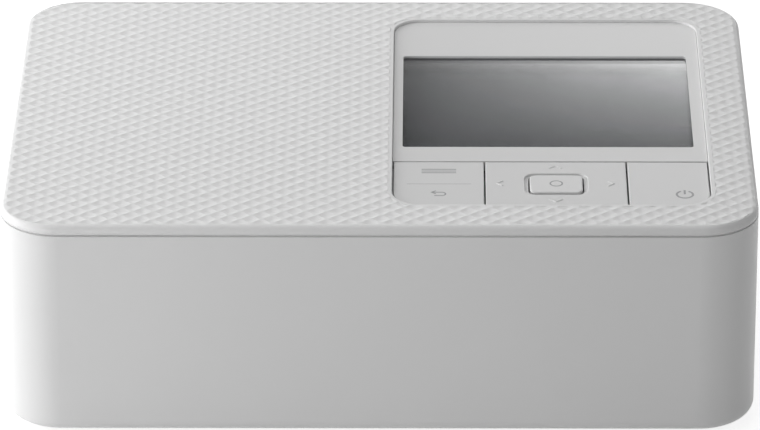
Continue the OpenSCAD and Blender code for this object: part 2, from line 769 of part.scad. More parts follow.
// Tray that clips the display and the glass to the bezel
module display_holder() {
    w = lcd_w + 2 * display_margin + 0.2;
    d = lcd_d + 2 * display_margin + 0.2;
    z0 = display_z - display_t - holder_t;
    color("gray") translate([lcd_x, lcd_y, 0]) difference() {
        rprism(lcd_w + 2 * glass_in - 0.2, lcd_d + 2 * glass_in - 0.2, 1.4, z0, window_z - window_t);
        rprism(w, d, 1.2, z0 + holder_t, window_z);
        rprism(w - 14, d - 14, 3, z0 - 1, window_z);
        // visible tunnel above the display stays as wide as the window
        rprism(lcd_w, lcd_d, 0.8, display_z, window_z);
    }
}

// Cap of a key: slab with its retaining lip and a plunger over each switch
module key_cap(x0, x1, r_left, r_right, lip_left, lip_right) {
    w = x1 - x0;
    module outline(grow_l, grow_r, grow_f) {
        difference() {
            translate([x0 - grow_l, key_y0 - grow_f]) square([w + grow_l + grow_r, key_y1 - key_y0 + grow_f]);
            if (r_left > 0) corner_cut(x0 - grow_l, key_y0 - grow_f, r_left + grow_l, 1);
            if (r_right > 0) corner_cut(x1 + grow_r, key_y0 - grow_f, r_right + grow_r, -1);
        }
    }
    translate([0, 0, key_lip_z]) linear_extrude(panel_z - key_lip_z) outline(0, 0, 0);
    translate([0, 0, key_lip_z]) linear_extrude(0.8) outline(lip_left, lip_right, key_lip);
}

// Cuts a square corner back to a round of radius r; dir is 1 for a left corner
module corner_cut(x, y, r, dir) {
    difference() {
        translate([dir > 0 ? x - 1 : x - r, y - 1]) square([r + 1, r + 1]);
        translate([x + dir * r, y + r]) circle(r);
    }
}

key_corner = panel_r - key_gap;
plunger_z = key_board_z + board_t + switch_h + key_travel + 0.15;
module plunger(x, y) {
    rod_z(x, y, 1.4, plunger_z, key_lip_z + 0.2);
}

menu_x = (key_x0 + key_x0 + menu_w) / 2;
power_x = (power_x0 + key_x1) / 2;
rock_reach = key_d / 2 - 4;
module menu_back_key() {
    color("whitesmoke") {
        key_cap(key_x0, key_x0 + menu_w, key_corner, 0, key_lip, 0);
        for (s = [-1, 1]) plunger(menu_x, key_y + s * rock_reach);
    }
}

module power_key() {
    color("whitesmoke") {
        key_cap(power_x0, key_x1, 0, key_corner, 0, key_lip);
        plunger(power_x, key_y);
    }
}

arrow_reach_x = nav_w / 2 - 4;
module arrow_key() {
    color("whitesmoke") difference() {
        union() {
            key_cap(nav_x0, nav_x1, 0, 0, 0, 0);
            for (s = [-1, 1]) {
                plunger(nav_x, key_y + s * rock_reach);
                plunger(nav_x + s * arrow_reach_x, key_y);
            }
        }
        translate([nav_x, key_y, 0]) {
            rprism(ok_w + 2 * key_gap, ok_d + 2 * key_gap, 2, key_lip_z - 1, panel_z + 1);
            // dished surround
            rprism(ok_w + 2.4, ok_d + 2, 2.8, panel_z - 0.5, panel_z + 1);
        }
    }
}

// Round ridges that the keys rock on
rock_r = 0.6;
rock_gap = 0.1;
rock_z = key_lip_z - rock_gap - rock_r;        // axis under a key
pivot_z = key_board_z + board_t + 0.05;
fore_z = pivot_z + rock_r;                     // axis on the board

// Rubber rocker under the arrow key: it tilts fore and aft, the key tilts across on it
module arrow_key_pivot() {
    color("gray") translate([nav_x, key_y, 0]) {
        difference() {
            rprism(ok_w + 6.4, ok_d + 2.6, 2, pivot_z + 0.9, pivot_z + 1.6);
            rprism(ok_w + 2.4, ok_d - 2, 1, pivot_z, pivot_z + 2);
        }
        // ridges: the ring rocks fore and aft on the lower pair, the key across on the upper
        for (s = [-1, 1]) {
            rod_x([0, fore_z], rock_r, s * (ok_w / 2 + 2.2) - 0.9, s * (ok_w / 2 + 2.2) + 0.9);
            rod_y(0, rock_z, rock_r, s * (ok_d / 2 + 0.85) - 0.4, s * (ok_d / 2 + 0.85) + 0.4);
        }
    }
}

// Ridge that the rocker key turns on
module menu_key_pivot() {
    color("gray") {
        rod_x([key_y, rock_z], rock_r, menu_x - 8, menu_x + 8);
        block([menu_x - 8, key_y - rock_r, key_board_z + board_t], [menu_x + 8, key_y + rock_r, rock_z]);
    }
}

module ok_key() {
    color("white") translate([nav_x, key_y, 0]) {
        rprism(ok_w, ok_d, 1.7, key_lip_z, panel_z + 0.1);
        rod_z(0, 0, 1.4, plunger_z, key_lip_z + 0.2);
        // legs whose feet keep it under the arrow key
        for (s = [-1, 1]) {
            block([s * (ok_w / 2 - 0.8) - 0.7, -2.5, key_lip_z - 1], [s * (ok_w / 2 - 0.8) + 0.7, 2.5, key_lip_z + 0.1]);
            block([s * (ok_w / 2) - 0.9, -2.5, key_lip_z - 1], [s * (ok_w / 2) + 0.9, 2.5, key_lip_z - 0.45]);
        }
    }
}

module key_circuit_board() {
    color("darkgreen") block([panel_x - rail_in - rail_w, key_y0 - 1, key_board_z],
                             [panel_x + rail_in + rail_w, key_y1 - 0.6, key_board_z + board_t]);
}

module key_switches() {
    z = key_board_z + board_t;
    color("silver")
        for (p = [[menu_x, key_y - rock_reach], [menu_x, key_y + rock_reach], [power_x, key_y],
                  [nav_x, key_y], [nav_x, key_y - rock_reach], [nav_x, key_y + rock_reach],
                  [nav_x - arrow_reach_x, key_y], [nav_x + arrow_reach_x, key_y]]) {
            block([p[0] - 1.5, p[1] - 1.5, z], [p[0] + 1.5, p[1] + 1.5, z + 0.9]);
            rod_z(p[0], p[1], 0.9, z + 0.8, z + switch_h);
        }
}

// ------------------------------------------------------------------ paper bay

bay_x0 = path_x - bay_w / 2;
bay_x1 = path_x + bay_w / 2;
bay_back = fascia_y + bay_len;
lift_x0 = path_x - 24;
lift_x1 = path_x + 24;
lift_y0 = fascia_y + 18;
lift_y1 = bay_back - 3;
lift_hinge_z = bay_floor + 0.9;
lift_pin_r = 0.5;
module cassette_bay() {
    color("darkgray") difference() {
        union() {
            // panel behind the front cover
            block([-fascia_half, fascia_y, sill_z - 0.2], [fascia_half, fascia_y + fascia_t, seam_z - 3]);
            // floor and side guides
            block([bay_x0 - bay_t, fascia_y, bay_floor], [bay_x1 + bay_t, bay_back, sill_z]);
            for (x = [bay_x0 - bay_t, bay_x1])
                block([x, fascia_y, bay_floor], [x + bay_t, bay_back, sill_z + bay_h - 2]);
            // legs down to the tray
            for (x = [bay_x0 - bay_t, path_x - 30, path_x + 28, bay_x1 - 1])
                block([x, tray_front + 2, floor_z], [x + 2, bay_back - 6, bay_floor + 0.1]);
            // back stop that turns the sheets up to the platen
            along_x(bay_x0 - bay_t, bay_x1 + bay_t) polygon([
                [bay_back - 1.5, bay_floor], [bay_back, bay_floor],
                [bay_back, path_z - 3], [bay_back - 1.5, path_z - 6]]);
        }
        // mouth for the paper cassette
        block([bay_x0, fascia_y - 1, sill_z], [bay_x1, fascia_y + fascia_t + 1, sill_z + bay_h]);
        // the cover's lower edge turns in front of the sill, its corners beside the bay
        along_x(-half_w, half_w) translate([hinge_y, hinge_z]) circle(hinge_z - foot_h + 0.4);
        for (x = [[-half_w, bay_x0 - bay_t - 0.1], [bay_x1 + bay_t + 0.1, half_w]])
            along_x(x[0], x[1]) translate([hinge_y, hinge_z]) circle(wing_r + 0.3);
        // well for the lift plate
        block([lift_x0 - 0.4, lift_y0 - 1.4, bay_floor - 1], [lift_x1 + 0.4, lift_y1 + 0.4, sill_z + 1]);
        // catches of the cover
        for (sx = [-1, 1])
            block([sx * catch_x - catch_w / 2 - 0.5, fascia_y - 1, catch_z - 0.6],
                  [sx * catch_x + catch_w / 2 + 0.5, fascia_y + fascia_t + 1, catch_z + 2.4]);
        // hinge pins of the lift plate
        rod_x([lift_y0, lift_hinge_z], lift_pin_r + run_gap, lift_x0 - 3, lift_x1 + 3);
    }
}

module paper_lift_plate() {
    color("silver") {
        block([lift_x0, lift_y0, bay_floor + 0.3], [lift_x1, lift_y1, bay_floor + 1.3]);
        rod_x([lift_y0, lift_hinge_z], lift_pin_r, lift_x0 - 2.6, lift_x1 + 2.6);
        // pressure pad
        block([lift_x0 + 14, lift_y1 - 8, bay_floor + 1.2], [lift_x1 - 14, lift_y1 - 2, bay_floor + 1.6]);
    }
}

// ------------------------------------------------------------------ frames and rollers

bush_r = shaft_r + 1.3;
module frame_outline() {
    polygon([
        [frame_front, pick_c[1] - 7], [bay_back + 1.5, floor_z + 6], [bay_back + 1.5, floor_z],
        [frame_back, floor_z], [frame_back, frame_top], [head_c[0] - 12, frame_top],
        [head_c[0] - 20, spool_z + tube_r + 1.6], [frame_front + 6, spool_z + tube_r + 1.6],
        [frame_front, spool_z + tube_r - 6]]);
}

module bush_holes() {
    for (c = [[platen_y, platen_z], capstan_c, pick_c]) translate(c) circle(bush_r + 0.02);
    translate([capstan_y, pinch_z]) circle(2 + run_gap);
    translate(head_c) circle(2 + 0.02);
}

// Opening that the ink cassette passes through
module cart_opening(g) {
    for (c = [takeup_c, supply_c]) translate(c) circle(tube_r + g);
    translate([takeup_y, rail_z - g]) square([spool_pitch, rail_h + 2 * g]);
    // way out for the tab that the eject lever pushes
    translate([lever_y0 + 0.4 - g, lever_z0 - 6.5 - g]) square([takeup_y - lever_y0 - 4, 2.5 + ramp + 2 * g]);
}

module left_frame() {
    color("silver") difference() {
        union() {
            along_x(frame_l, frame_l + sheet) frame_outline();
            // foot flange screwed to the tray
            block([frame_l - 5, bay_back + 1.5, floor_z], [frame_l + 0.1, frame_back, floor_z + sheet]);
            // fixed pin of the head cam, with its retaining washer
            rod_x(cam_c, 2, frame_l - 1.2 - cam_t, frame_l + 0.1);
            rod_x(cam_c, 3.2, frame_l - 1.3 - cam_t, frame_l - 0.9 - cam_t);
        }
        along_x(frame_l - 1, frame_l + sheet + 1) {
            bush_holes();
            translate(takeup_c) circle(shaft_r + run_gap);
            translate(supply_c) circle(shaft_r + run_gap);
            translate(reduction_c) circle(2);
            // arc slot for the head's follower peg
            for (k = [0 : 4])
                translate(head_c + turn(peg_up - head_c, head_lift * k / 4)) circle(peg_r + 0.6);
        }
    }
}

module right_frame() {
    color("silver") difference() {
        union() {
            along_x(frame_r, frame_r + sheet) frame_outline();
            block([frame_r + 0.1, bay_back + 1.5, floor_z], [frame_r + 4.5, frame_back - 9, floor_z + sheet]);
        }
        along_x(frame_r - 1, frame_r + sheet + 1) {
            bush_holes();
            cart_opening(0.6);
            translate([lever_y0 - 0.5, lever_z0 - eject_travel - 0.5])
                square([lever_y1 - lever_y0 + 1, lever_z1 - lever_z0 + eject_travel + 1]);
        }
    }
}

module frame_tie_bar() {
    color("silver") difference() {
        block([frame_l + sheet, frame_back - 1.2, path_z + 6], [frame_r, frame_back, spool_z + 6]);
        for (i = [-9 : 9])
            block([path_x + i * vent_pitch * 1.2 - 1.4, frame_back - 3, path_z + 9],
                  [path_x + i * vent_pitch * 1.2 + 1.4, frame_back + 1, spool_z + 2]);
    }
}

roll_x0 = path_x - paper_w / 2 - 3;
roll_x1 = path_x + paper_w / 2 + 3;
module platen_roller() {
    color("black") difference() {
        rod_x([platen_y, platen_z], platen_r, roll_x0, roll_x1);
        rod_x([platen_y, platen_z], shaft_r, roll_x0 - 1, roll_x1 + 1);
    }
}

module platen_shaft() {
    color("silver") rod_x([platen_y, platen_z], shaft_r, frame_l - 0.6, frame_r + sheet + 1.5);
}

module capstan_roller() {
    color("silver") {
        rod_x(capstan_c, capstan_r, roll_x0, roll_x1);
        rod_x(capstan_c, shaft_r, layer1_x - 0.6, frame_r + sheet + 1.5);
    }
}

module capstan_gear() {
    color("ivory") along_x(layer1_x, layer1_x + layer_t) difference() {
        gear_outline(capstan_teeth, capstan_c, capstan_a);
        translate(capstan_c) circle(shaft_r + 0.02);
    }
}

module pinch_roller() {
    color("dimgray") {
        for (x = [roll_x0 + 4, path_x - 15, roll_x1 - 34])
            rod_x([capstan_y, pinch_z], pinch_r, x, x + 30);
        rod_x([capstan_y, pinch_z], 2, frame_l - 0.5, frame_r + sheet + 0.5);
    }
}

pick_tyre_w = 13;
module pickup_roller() {
    color("dimgray") {
        for (s = [-1, 1])
            rod_x(pick_c, pick_r, path_x + s * 14 - pick_tyre_w / 2, path_x + s * 14 + pick_tyre_w / 2);
        rod_x(pick_c, shaft_r, layer1_x - 0.6, frame_r + sheet + 1.5);
    }
}

module pickup_gear() {
    color("ivory") along_x(layer1_x, layer1_x + layer_t) difference() {
        gear_outline(pick_teeth, pick_c, pick_a);
        translate(pick_c) circle(shaft_r + 0.02);
    }
}

module roller_bushes() {
    color("goldenrod") for (c = [[platen_y, platen_z], capstan_c, pick_c], x = [frame_l - 0.2, frame_r - 0.2])
        along_x(x, x + sheet + 0.4) difference() {
            translate(c) circle(bush_r);
            translate(c) circle(shaft_r + run_gap);
        }
}

// ------------------------------------------------------------------ print head

module lifted() {
    translate([0, head_c[0], head_c[1]]) rotate([-head_lift, 0, 0])
        translate([0, -head_c[0], -head_c[1]]) children();
}

arm_plate_z = spool_z + tube_r + 0.7;
arm_low_z = film_z + 11.5;
arm_crank = supply_y - tube_r - 0.7;
arm_front = platen_y - head_half;
module head_arm() {
    t = sheet;
    color("silver") lifted() {
        difference() {
            union() {
                // cranked top plate
                along_x(arm_x0, arm_x1) polygon([
                    [head_c[0] - 5, arm_plate_z], [head_c[0] - 5, arm_plate_z + t],
                    [arm_crank - t, arm_plate_z + t], [arm_crank - t, arm_low_z + t],
                    [arm_front, arm_low_z + t], [arm_front, arm_low_z],
                    [arm_crank, arm_low_z], [arm_crank, arm_plate_z]]);
                // side cheeks to the pivot
                for (x = [arm_x0, arm_x1 - t]) along_x(x, x + t) {
                    translate(head_c) circle(3.6);
                    polygon([
                        [head_c[0], head_c[1] + 3.6], [head_c[0], arm_plate_z],
                        [arm_crank, arm_plate_z], [arm_crank, arm_low_z], [arm_front, arm_low_z],
                        [arm_front, arm_low_z + 3.4], [arm_crank - t, arm_plate_z + 2.4],
                        [head_c[0] - 5, head_c[1] + 3.4]]);
                }
            }
            rod_x(head_c, 2 + run_gap, arm_x0 - 1, arm_x1 + 1);
        }
        // follower peg, through the left frame
        rod_x(peg_down, peg_r, frame_l - 0.9 - cam_t, arm_x0 + 0.2);
        along_x(arm_x0, arm_x0 + t) translate(peg_down) circle(2.6);
    }
}

module head_heatsink() {
    x0 = head_x0;
    color("lightgray") lifted() difference() {
        block([x0, arm_front + 0.5, head_z + 2.2], [head_x1, platen_y + head_half - 0.5, arm_low_z]);
        // fins
        for (i = [0 : 3])
            block([x0 - 1, arm_front + 2.4 + i * 3.2, head_z + 5], [head_x1 + 1, arm_front + 3.9 + i * 3.2, arm_low_z + 1]);
    }
}

module thermal_head() {
    color("sienna") lifted() {
        block([head_x0, arm_front, head_z + 0.6], [head_x1, platen_y + head_half, head_z + 2.2]);
        // heater bead
        block([head_x0 + 2, platen_y - 1.2, head_z], [head_x1 - 2, platen_y + 1.2, head_z + 0.7]);
    }
}

module head_arm_shaft() {
    color("silver") rod_x(head_c, 2, frame_l - 0.5, frame_r + sheet + 0.5);
}

// Spiral cam under the follower peg: its radius falls evenly over half a turn
cam_steps = 36;
function cam_radius(a) = a <= 190 ? cam_max - (cam_max - cam_min) * a / 180
    : cam_radius(190) + (cam_max - cam_radius(190)) * (a - 190) / 170;
module head_cam() {
    x1 = frame_l - 0.7;
    color("ivory") {
        along_x(x1 - cam_t, x1) difference() {
            translate(cam_c) polygon([for (k = [0 : cam_steps - 1])
                let (a = k * 360 / cam_steps) polar(90 - a, cam_radius(a))]);
            translate(cam_c) circle(2 + run_gap);
        }
    }
}

// ------------------------------------------------------------------ drive

bracket_x = layer2_x - 3.4 - sheet;
feed_can_l = 18;
ribbon_can_l = 22;
spindle_r = 1;
// Can with its front bearing, bored for the spindle
module motor_can(c, r, len, nose_r) {
    difference() {
        union() {
            rod_x(c, r, bracket_x - len, bracket_x);
            rod_x(c, nose_r, bracket_x - 0.1, bracket_x + sheet + 0.4);
        }
        rod_x(c, spindle_r + run_gap, bracket_x - len / 2, bracket_x + sheet + 1);
    }
}

module feed_motor() {
    color("silver") motor_can(motor_c, feed_can_r, feed_can_l, 4);
}

// Pinions, each pressed on its motor's spindle
module feed_pinion() {
    color("gold") {
        along_x(layer2_x - 0.4, layer2_x + layer_t) gear_outline(pinion_teeth, motor_c, feed_pinion_a);
        rod_x(motor_c, spindle_r, bracket_x - feed_can_l / 2 + 0.5, layer2_x + layer_t + 0.4);
    }
}

module ribbon_motor() {
    color("silver") motor_can(ribbon_c, ribbon_can_r, ribbon_can_l, 3);
}

module ribbon_pinion() {
    color("gold") {
        along_x(layer1_x - 0.4, layer1_x + layer_t) gear_outline(pinion_teeth, ribbon_c, ribbon_pinion_a);
        rod_x(ribbon_c, spindle_r, bracket_x - ribbon_can_l / 2 + 0.5, layer1_x + layer_t + 0.3);
    }
}

module reduction_gear() {
    color("ivory") difference() {
        union() {
            along_x(layer2_x, layer2_x + layer_t) gear_outline(big_teeth, reduction_c, big_a);
            along_x(layer2_x + layer_t - 0.1, layer1_x + layer_t)
                gear_outline(small_teeth, reduction_c, small_a);
        }
        rod_x(reduction_c, 2 + run_gap, layer2_x - 1, frame_l);
    }
}

// Plate that carries both motors, with posts to the left frame and the fixed gear pins
post_places = [[ribbon_c[0] + 6.5, floor_z + 3.5], [platen_y + 3, floor_z + 3.6], [capstan_y - 3.5, capstan_z + 16.5]];
bracket_y1 = in_y - 10;
module motor_bracket() {
    color("silver") {
        difference() {
            along_x(bracket_x, bracket_x + sheet) difference() {
                polygon([
                    [bracket_y0, floor_z], [bracket_y1, floor_z], [bracket_y1, post_places[2][1] + 3.2],
                    [motor_c[0] - 10, motor_c[1] + 13.5], [ribbon_c[0] - 6, ribbon_c[1] + 12],
                    [bracket_y0, ribbon_c[1] + 4]]);
                translate(motor_c) circle(4 + run_gap);
                translate(ribbon_c) circle(3 + run_gap);
            }
        }
        // fixed pins of the reduction gear and the cam
        rod_x(reduction_c, 2, bracket_x + sheet - 0.1, frame_l + sheet);
        for (p = post_places) rod_x(p, 2.2, bracket_x + sheet - 0.1, frame_l);
        // foot flange, clear of the ribbon motor
        block([bracket_x - 5, ribbon_c[0] + ribbon_can_r + 1, floor_z], [bracket_x + 0.1, bracket_y1, floor_z + sheet]);
    }
}

// Drive hub with its gear outside the frame and a hexagonal dog inside the spool
dog_x1 = cart_x0 + 3.4;
module takeup_hub() {
    color("ivory") {
        along_x(layer1_x, layer1_x + layer_t) gear_outline(hub_teeth, takeup_c, hub_a);
        rod_x(takeup_c, shaft_r, layer1_x + layer_t - 0.1, frame_l + sheet + 1);
        along_x(frame_l + sheet + 0.9, dog_x1) hexagon(takeup_c, hex_r - 0.25);
    }
}

module supply_hub() {
    color("ivory") {
        rod_x(supply_c, 5.5, layer1_x + 1.2, layer1_x + layer_t - 0.4);
        rod_x(supply_c, shaft_r, layer1_x + layer_t - 0.5, frame_l + sheet + 1);
        along_x(frame_l + sheet + 0.9, dog_x1) hexagon(supply_c, hex_r - 0.25);
    }
}

// ------------------------------------------------------------------ ink cassette

core_r = 4.4;
roll_r = 6.6;
spool_x0 = cart_x0 + 0.2;
spool_x1 = cart_x1 - 0.6;
module ink_cassette_case() {
    rail_y = [takeup_y, supply_y];
    color("lightsteelblue") difference() {
        union() {
            for (c = [takeup_c, supply_c]) rod_x(c, tube_r, cart_x0, cart_x1);
            for (x = [cart_x0, cart_x1 - cart_end_t])
                along_x(x, x + cart_end_t)
                    translate([takeup_y, rail_z]) square([spool_pitch, rail_h]);
            // wider grip on the outer end
            along_x(frame_r + sheet + fit_gap, cart_x1)
                translate([takeup_y, rail_z]) square([spool_pitch, tube_r + 4]);
            // tab that the eject lever's ramp pushes on
            tab();
        }
        for (c = [takeup_c, supply_c]) {
            rod_x(c, tube_r - tube_t, cart_x0 + cart_end_t, cart_x1 - cart_end_t);
            rod_x(c, journal_r + run_gap, cart_x0 - 1, cart_x0 + cart_end_t + 1);
            rod_x(c, shaft_r + run_gap, cart_x1 - cart_end_t - 1, cart_x1 + 1);
        }
        // slits that let the film out towards the head
        block([cart_x0 + cart_end_t + 4, takeup_y + 1, film_z - 2], [cart_x1 - cart_end_t - 4, takeup_y + tube_r + 1, film_z + 4.4]);
        block([cart_x0 + cart_end_t + 4, supply_y - tube_r - 1, film_z - 2], [cart_x1 - cart_end_t - 4, supply_y - 1, film_z + 4.4]);
    }
}

// Eject lever and the tab it works on: matching 45 degree ramps
ramp = 4;
tab_x = frame_r - 7 - eject_travel;
lever_y0 = takeup_y - tube_r - 3.2;
lever_y1 = takeup_y - tube_r - 0.6;
lever_z0 = spool_z + 4;
lever_z1 = spool_z + 9;
module tab() {
    // lies beside the take-up tube, its ramp faces up and to the left
    translate([0, takeup_y - 6, 0]) rotate([90, 0, 0]) linear_extrude(takeup_y - 6 - lever_y0 - 0.4)
        polygon([[tab_x, lever_z0 - 5], [tab_x + ramp, lever_z0 - 5 + ramp], [tab_x + ramp + 1.5, lever_z0 - 5 + ramp],
                 [tab_x + ramp + 1.5, lever_z0 - 6.5], [tab_x, lever_z0 - 6.5]]);
}

module eject_lever() {
    gap = 0.3;
    color("steelblue") {
        // ramp block
        translate([0, lever_y1, 0]) rotate([90, 0, 0]) linear_extrude(lever_y1 - lever_y0)
            polygon([[tab_x - gap * 1.4142, lever_z0 - 5], [tab_x - gap * 1.4142 - 2, lever_z0 - 5],
                     [tab_x - gap * 1.4142 - 2, lever_z0 + 4],
                     [tab_x - gap * 1.4142 + ramp, lever_z0 + 4], [tab_x - gap * 1.4142 + ramp, lever_z0 - 5 + ramp]]);
        // stem through the right frame to the thumb pad
        block([tab_x - 2, lever_y0, lever_z0 + 2.6], [in_x - 2, lever_y1, lever_z0 + 4]);
        block([in_x - 3.2, lever_y0 - 0.6, lever_z0], [in_x - 1.6, lever_y1, lever_z1]);
    }
}

module spool(c) {
    difference() {
        union() {
            rod_x(c, journal_r, spool_x0, cart_x0 + cart_end_t + 0.8);
            rod_x(c, core_r, cart_x0 + cart_end_t + 0.7, cart_x1 - cart_end_t - 0.6);
            rod_x(c, shaft_r, cart_x1 - cart_end_t - 0.7, spool_x1);
        }
        along_x(spool_x0 - 1, dog_x1 + eject_travel + 1) hexagon(c, hex_r);
    }
}

module film_roll(c, r) {
    color("midnightblue") difference() {
        rod_x(c, r, roll_x0 + 1, roll_x1 - 1);
        rod_x(c, core_r, roll_x0, roll_x1);
    }
}

module takeup_spool() {
    color("gray") spool(takeup_c);
}

module supply_spool() {
    color("gray") spool(supply_c);
}

takeup_roll_r = 5.6;
supply_roll_r = 6.8;
module takeup_film_roll() {
    film_roll(takeup_c, takeup_roll_r);
}

module supply_film_roll() {
    film_roll(supply_c, supply_roll_r);
}

// Film from roll to roll: down out of each tube and flat across the window
module ink_film() {
    reach = tube_r - 2.2;
    dip = 0.25;
    color("midnightblue") along_x(roll_x0 + 2, roll_x1 - 2) polygon([
        [takeup_y, spool_z - takeup_roll_r - dip], [takeup_y + reach, film_z + film_t],
        [supply_y - reach, film_z + film_t], [supply_y, spool_z - supply_roll_r - dip],
        [supply_y, spool_z - supply_roll_r - dip - film_t], [supply_y - reach, film_z],
        [takeup_y + reach, film_z], [takeup_y, spool_z - takeup_roll_r - dip - film_t]]);
}

// ------------------------------------------------------------------ electronics

board_x0 = -in_x + 1.2;
board_x1 = -in_x + 34;
module main_circuit_board() {
    z = port_board_z + port_board_t;
    color("darkgreen") {
        block([board_x0, board_y0, port_board_z], [board_x1, board_y1, z]);
        // processor, memory and connectors
        block([board_x1 - 5, board_y0 + 4, z - 0.1], [board_x1 - 1, board_y0 + 18, z + 3.5]);
        block([board_x1 - 5.5, board_y1 - 12, z - 0.1], [board_x1 - 1, board_y1 - 4, z + 1.2]);
    }
}

// Sheet metal shell of a socket: open towards -X
module socket_shell(y, z, size, depth, t) {
    x0 = -half_w + 0.6;
    difference() {
        block([x0, y - size[0] / 2, z - size[1] / 2], [x0 + depth, y + size[0] / 2, z + size[1] / 2]);
        block([x0 - 1, y - size[0] / 2 + t, z - size[1] / 2 + t],
              [x0 + depth - t, y + size[0] / 2 - t, z + size[1] / 2 - t]);
    }
}

module card_slot() {
    color("silver") socket_shell(card_y, card_z, card_size, 28, 0.4);
}

module usb_a_socket() {
    color("silver") {
        socket_shell(usb_a_y, usb_a_z, usb_a_size, 14, 0.4);
        block([-half_w + 2.5, usb_a_y - 5.5, usb_a_z + 0.2], [-half_w + 14.4, usb_a_y + 5.5, usb_a_z + 2]);
    }
}

module usb_c_socket() {
    color("silver") {
        socket_shell(usb_c_y, usb_c_z, usb_c_size, 8, 0.3);
        block([-half_w + 1.6, usb_c_y - 3.2, usb_c_z - 0.35], [-half_w + 8.4, usb_c_y + 3.2, usb_c_z + 0.35]);
    }
}

module power_inlet() {
    color("dimgray") difference() {
        union() {
            block([inlet_x - inlet_size[0] / 2, in_y - 9, inlet_z - inlet_size[1] / 2],
                  [inlet_x + inlet_size[0] / 2, half_d - 0.8, inlet_z + inlet_size[1] / 2]);
            block([inlet_x - inlet_size[0] / 2, in_y - 9, floor_z],
                  [inlet_x + inlet_size[0] / 2, in_y - 1, inlet_z]);
        }
        translate([inlet_x, half_d, inlet_z]) rotate([90, 0, 0]) difference() {
            cylinder(r = 3.2, h = 8);
            cylinder(r = 0.8, h = 8);
        }
    }
}

// ------------------------------------------------------------------ nodes

top_cover();
middle_shell();
base_tray();
front_cover();
front_hinge_pins();
ink_door();
ink_door_pins();
rubber_feet();
base_screws();
panel_bezel();
display_window();
display_panel();
display_holder();
menu_back_key();
menu_key_pivot();
arrow_key_pivot();
arrow_key();
ok_key();
power_key();
key_circuit_board();
key_switches();
cassette_bay();
paper_lift_plate();
left_frame();
right_frame();
frame_tie_bar();
platen_roller();
platen_shaft();
capstan_roller();
capstan_gear();
pinch_roller();
pickup_roller();
pickup_gear();
roller_bushes();
head_arm();
head_heatsink();
thermal_head();
head_arm_shaft();
head_cam();
feed_motor();
feed_pinion();
reduction_gear();
motor_bracket();
ribbon_motor();
ribbon_pinion();
takeup_hub();
supply_hub();
ink_cassette_case();
takeup_spool();
supply_spool();
takeup_film_roll();
supply_film_roll();
ink_film();
eject_lever();
main_circuit_board();
card_slot();
usb_a_socket();
usb_c_socket();
power_inlet();
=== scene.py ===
import json
import math
import bmesh
import bpy
import numpy as np
from mathutils import Matrix, Vector


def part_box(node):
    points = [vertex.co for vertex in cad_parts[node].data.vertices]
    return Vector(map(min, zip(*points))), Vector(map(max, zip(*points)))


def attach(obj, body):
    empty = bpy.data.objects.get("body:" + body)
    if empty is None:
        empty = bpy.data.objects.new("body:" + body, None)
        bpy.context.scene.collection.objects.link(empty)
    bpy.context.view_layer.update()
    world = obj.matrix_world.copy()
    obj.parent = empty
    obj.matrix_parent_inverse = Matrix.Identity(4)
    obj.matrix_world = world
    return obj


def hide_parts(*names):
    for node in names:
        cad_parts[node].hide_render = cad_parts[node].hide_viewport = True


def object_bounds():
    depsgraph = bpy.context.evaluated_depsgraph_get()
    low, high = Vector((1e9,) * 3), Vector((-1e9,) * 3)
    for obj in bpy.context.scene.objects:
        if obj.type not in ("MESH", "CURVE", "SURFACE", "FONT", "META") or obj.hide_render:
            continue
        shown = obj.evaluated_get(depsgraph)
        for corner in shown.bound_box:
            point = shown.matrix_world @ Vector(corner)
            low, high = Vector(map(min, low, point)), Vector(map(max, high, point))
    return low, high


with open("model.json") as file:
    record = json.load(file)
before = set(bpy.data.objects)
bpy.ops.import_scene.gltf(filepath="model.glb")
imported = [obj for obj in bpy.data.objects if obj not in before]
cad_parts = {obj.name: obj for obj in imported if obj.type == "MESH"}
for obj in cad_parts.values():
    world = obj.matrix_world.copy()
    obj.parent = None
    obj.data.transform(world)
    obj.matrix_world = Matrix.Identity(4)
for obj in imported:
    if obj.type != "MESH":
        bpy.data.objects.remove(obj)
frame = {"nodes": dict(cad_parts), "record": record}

cadBox = [list(corner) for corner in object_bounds()]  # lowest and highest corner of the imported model, metres
print("frame loaded:", len(frame["nodes"]), "pieces from the source")

mm = 0.001
weld = 2e-6  # m, points of a solid that lie closer than this are one
solids = frame["nodes"]
scene = bpy.context.scene

# The camera stands where the photograph was taken from.
viewPoint = {
    "target": (0.368, 0.0, 28.089),  # mm, what the lens looks at
    "distance": 1496.16,             # mm from target to lens
    "pitch": 26.043,                 # degrees above the table
    "turn": 0.5,                     # degrees round the printer
    "roll": -0.145,                  # degrees
    "focalPixels": 5978.0,           # focal length in pixels of the frame
    "axisAt": (382.854, 216.046),    # pixel that the optical axis meets
    "frame": (760, 430),             # pixels
    "sensorWidth": 36.0,             # mm
    "clip": (0.01, 50.0),            # m, nearest and farthest thing that is drawn
}


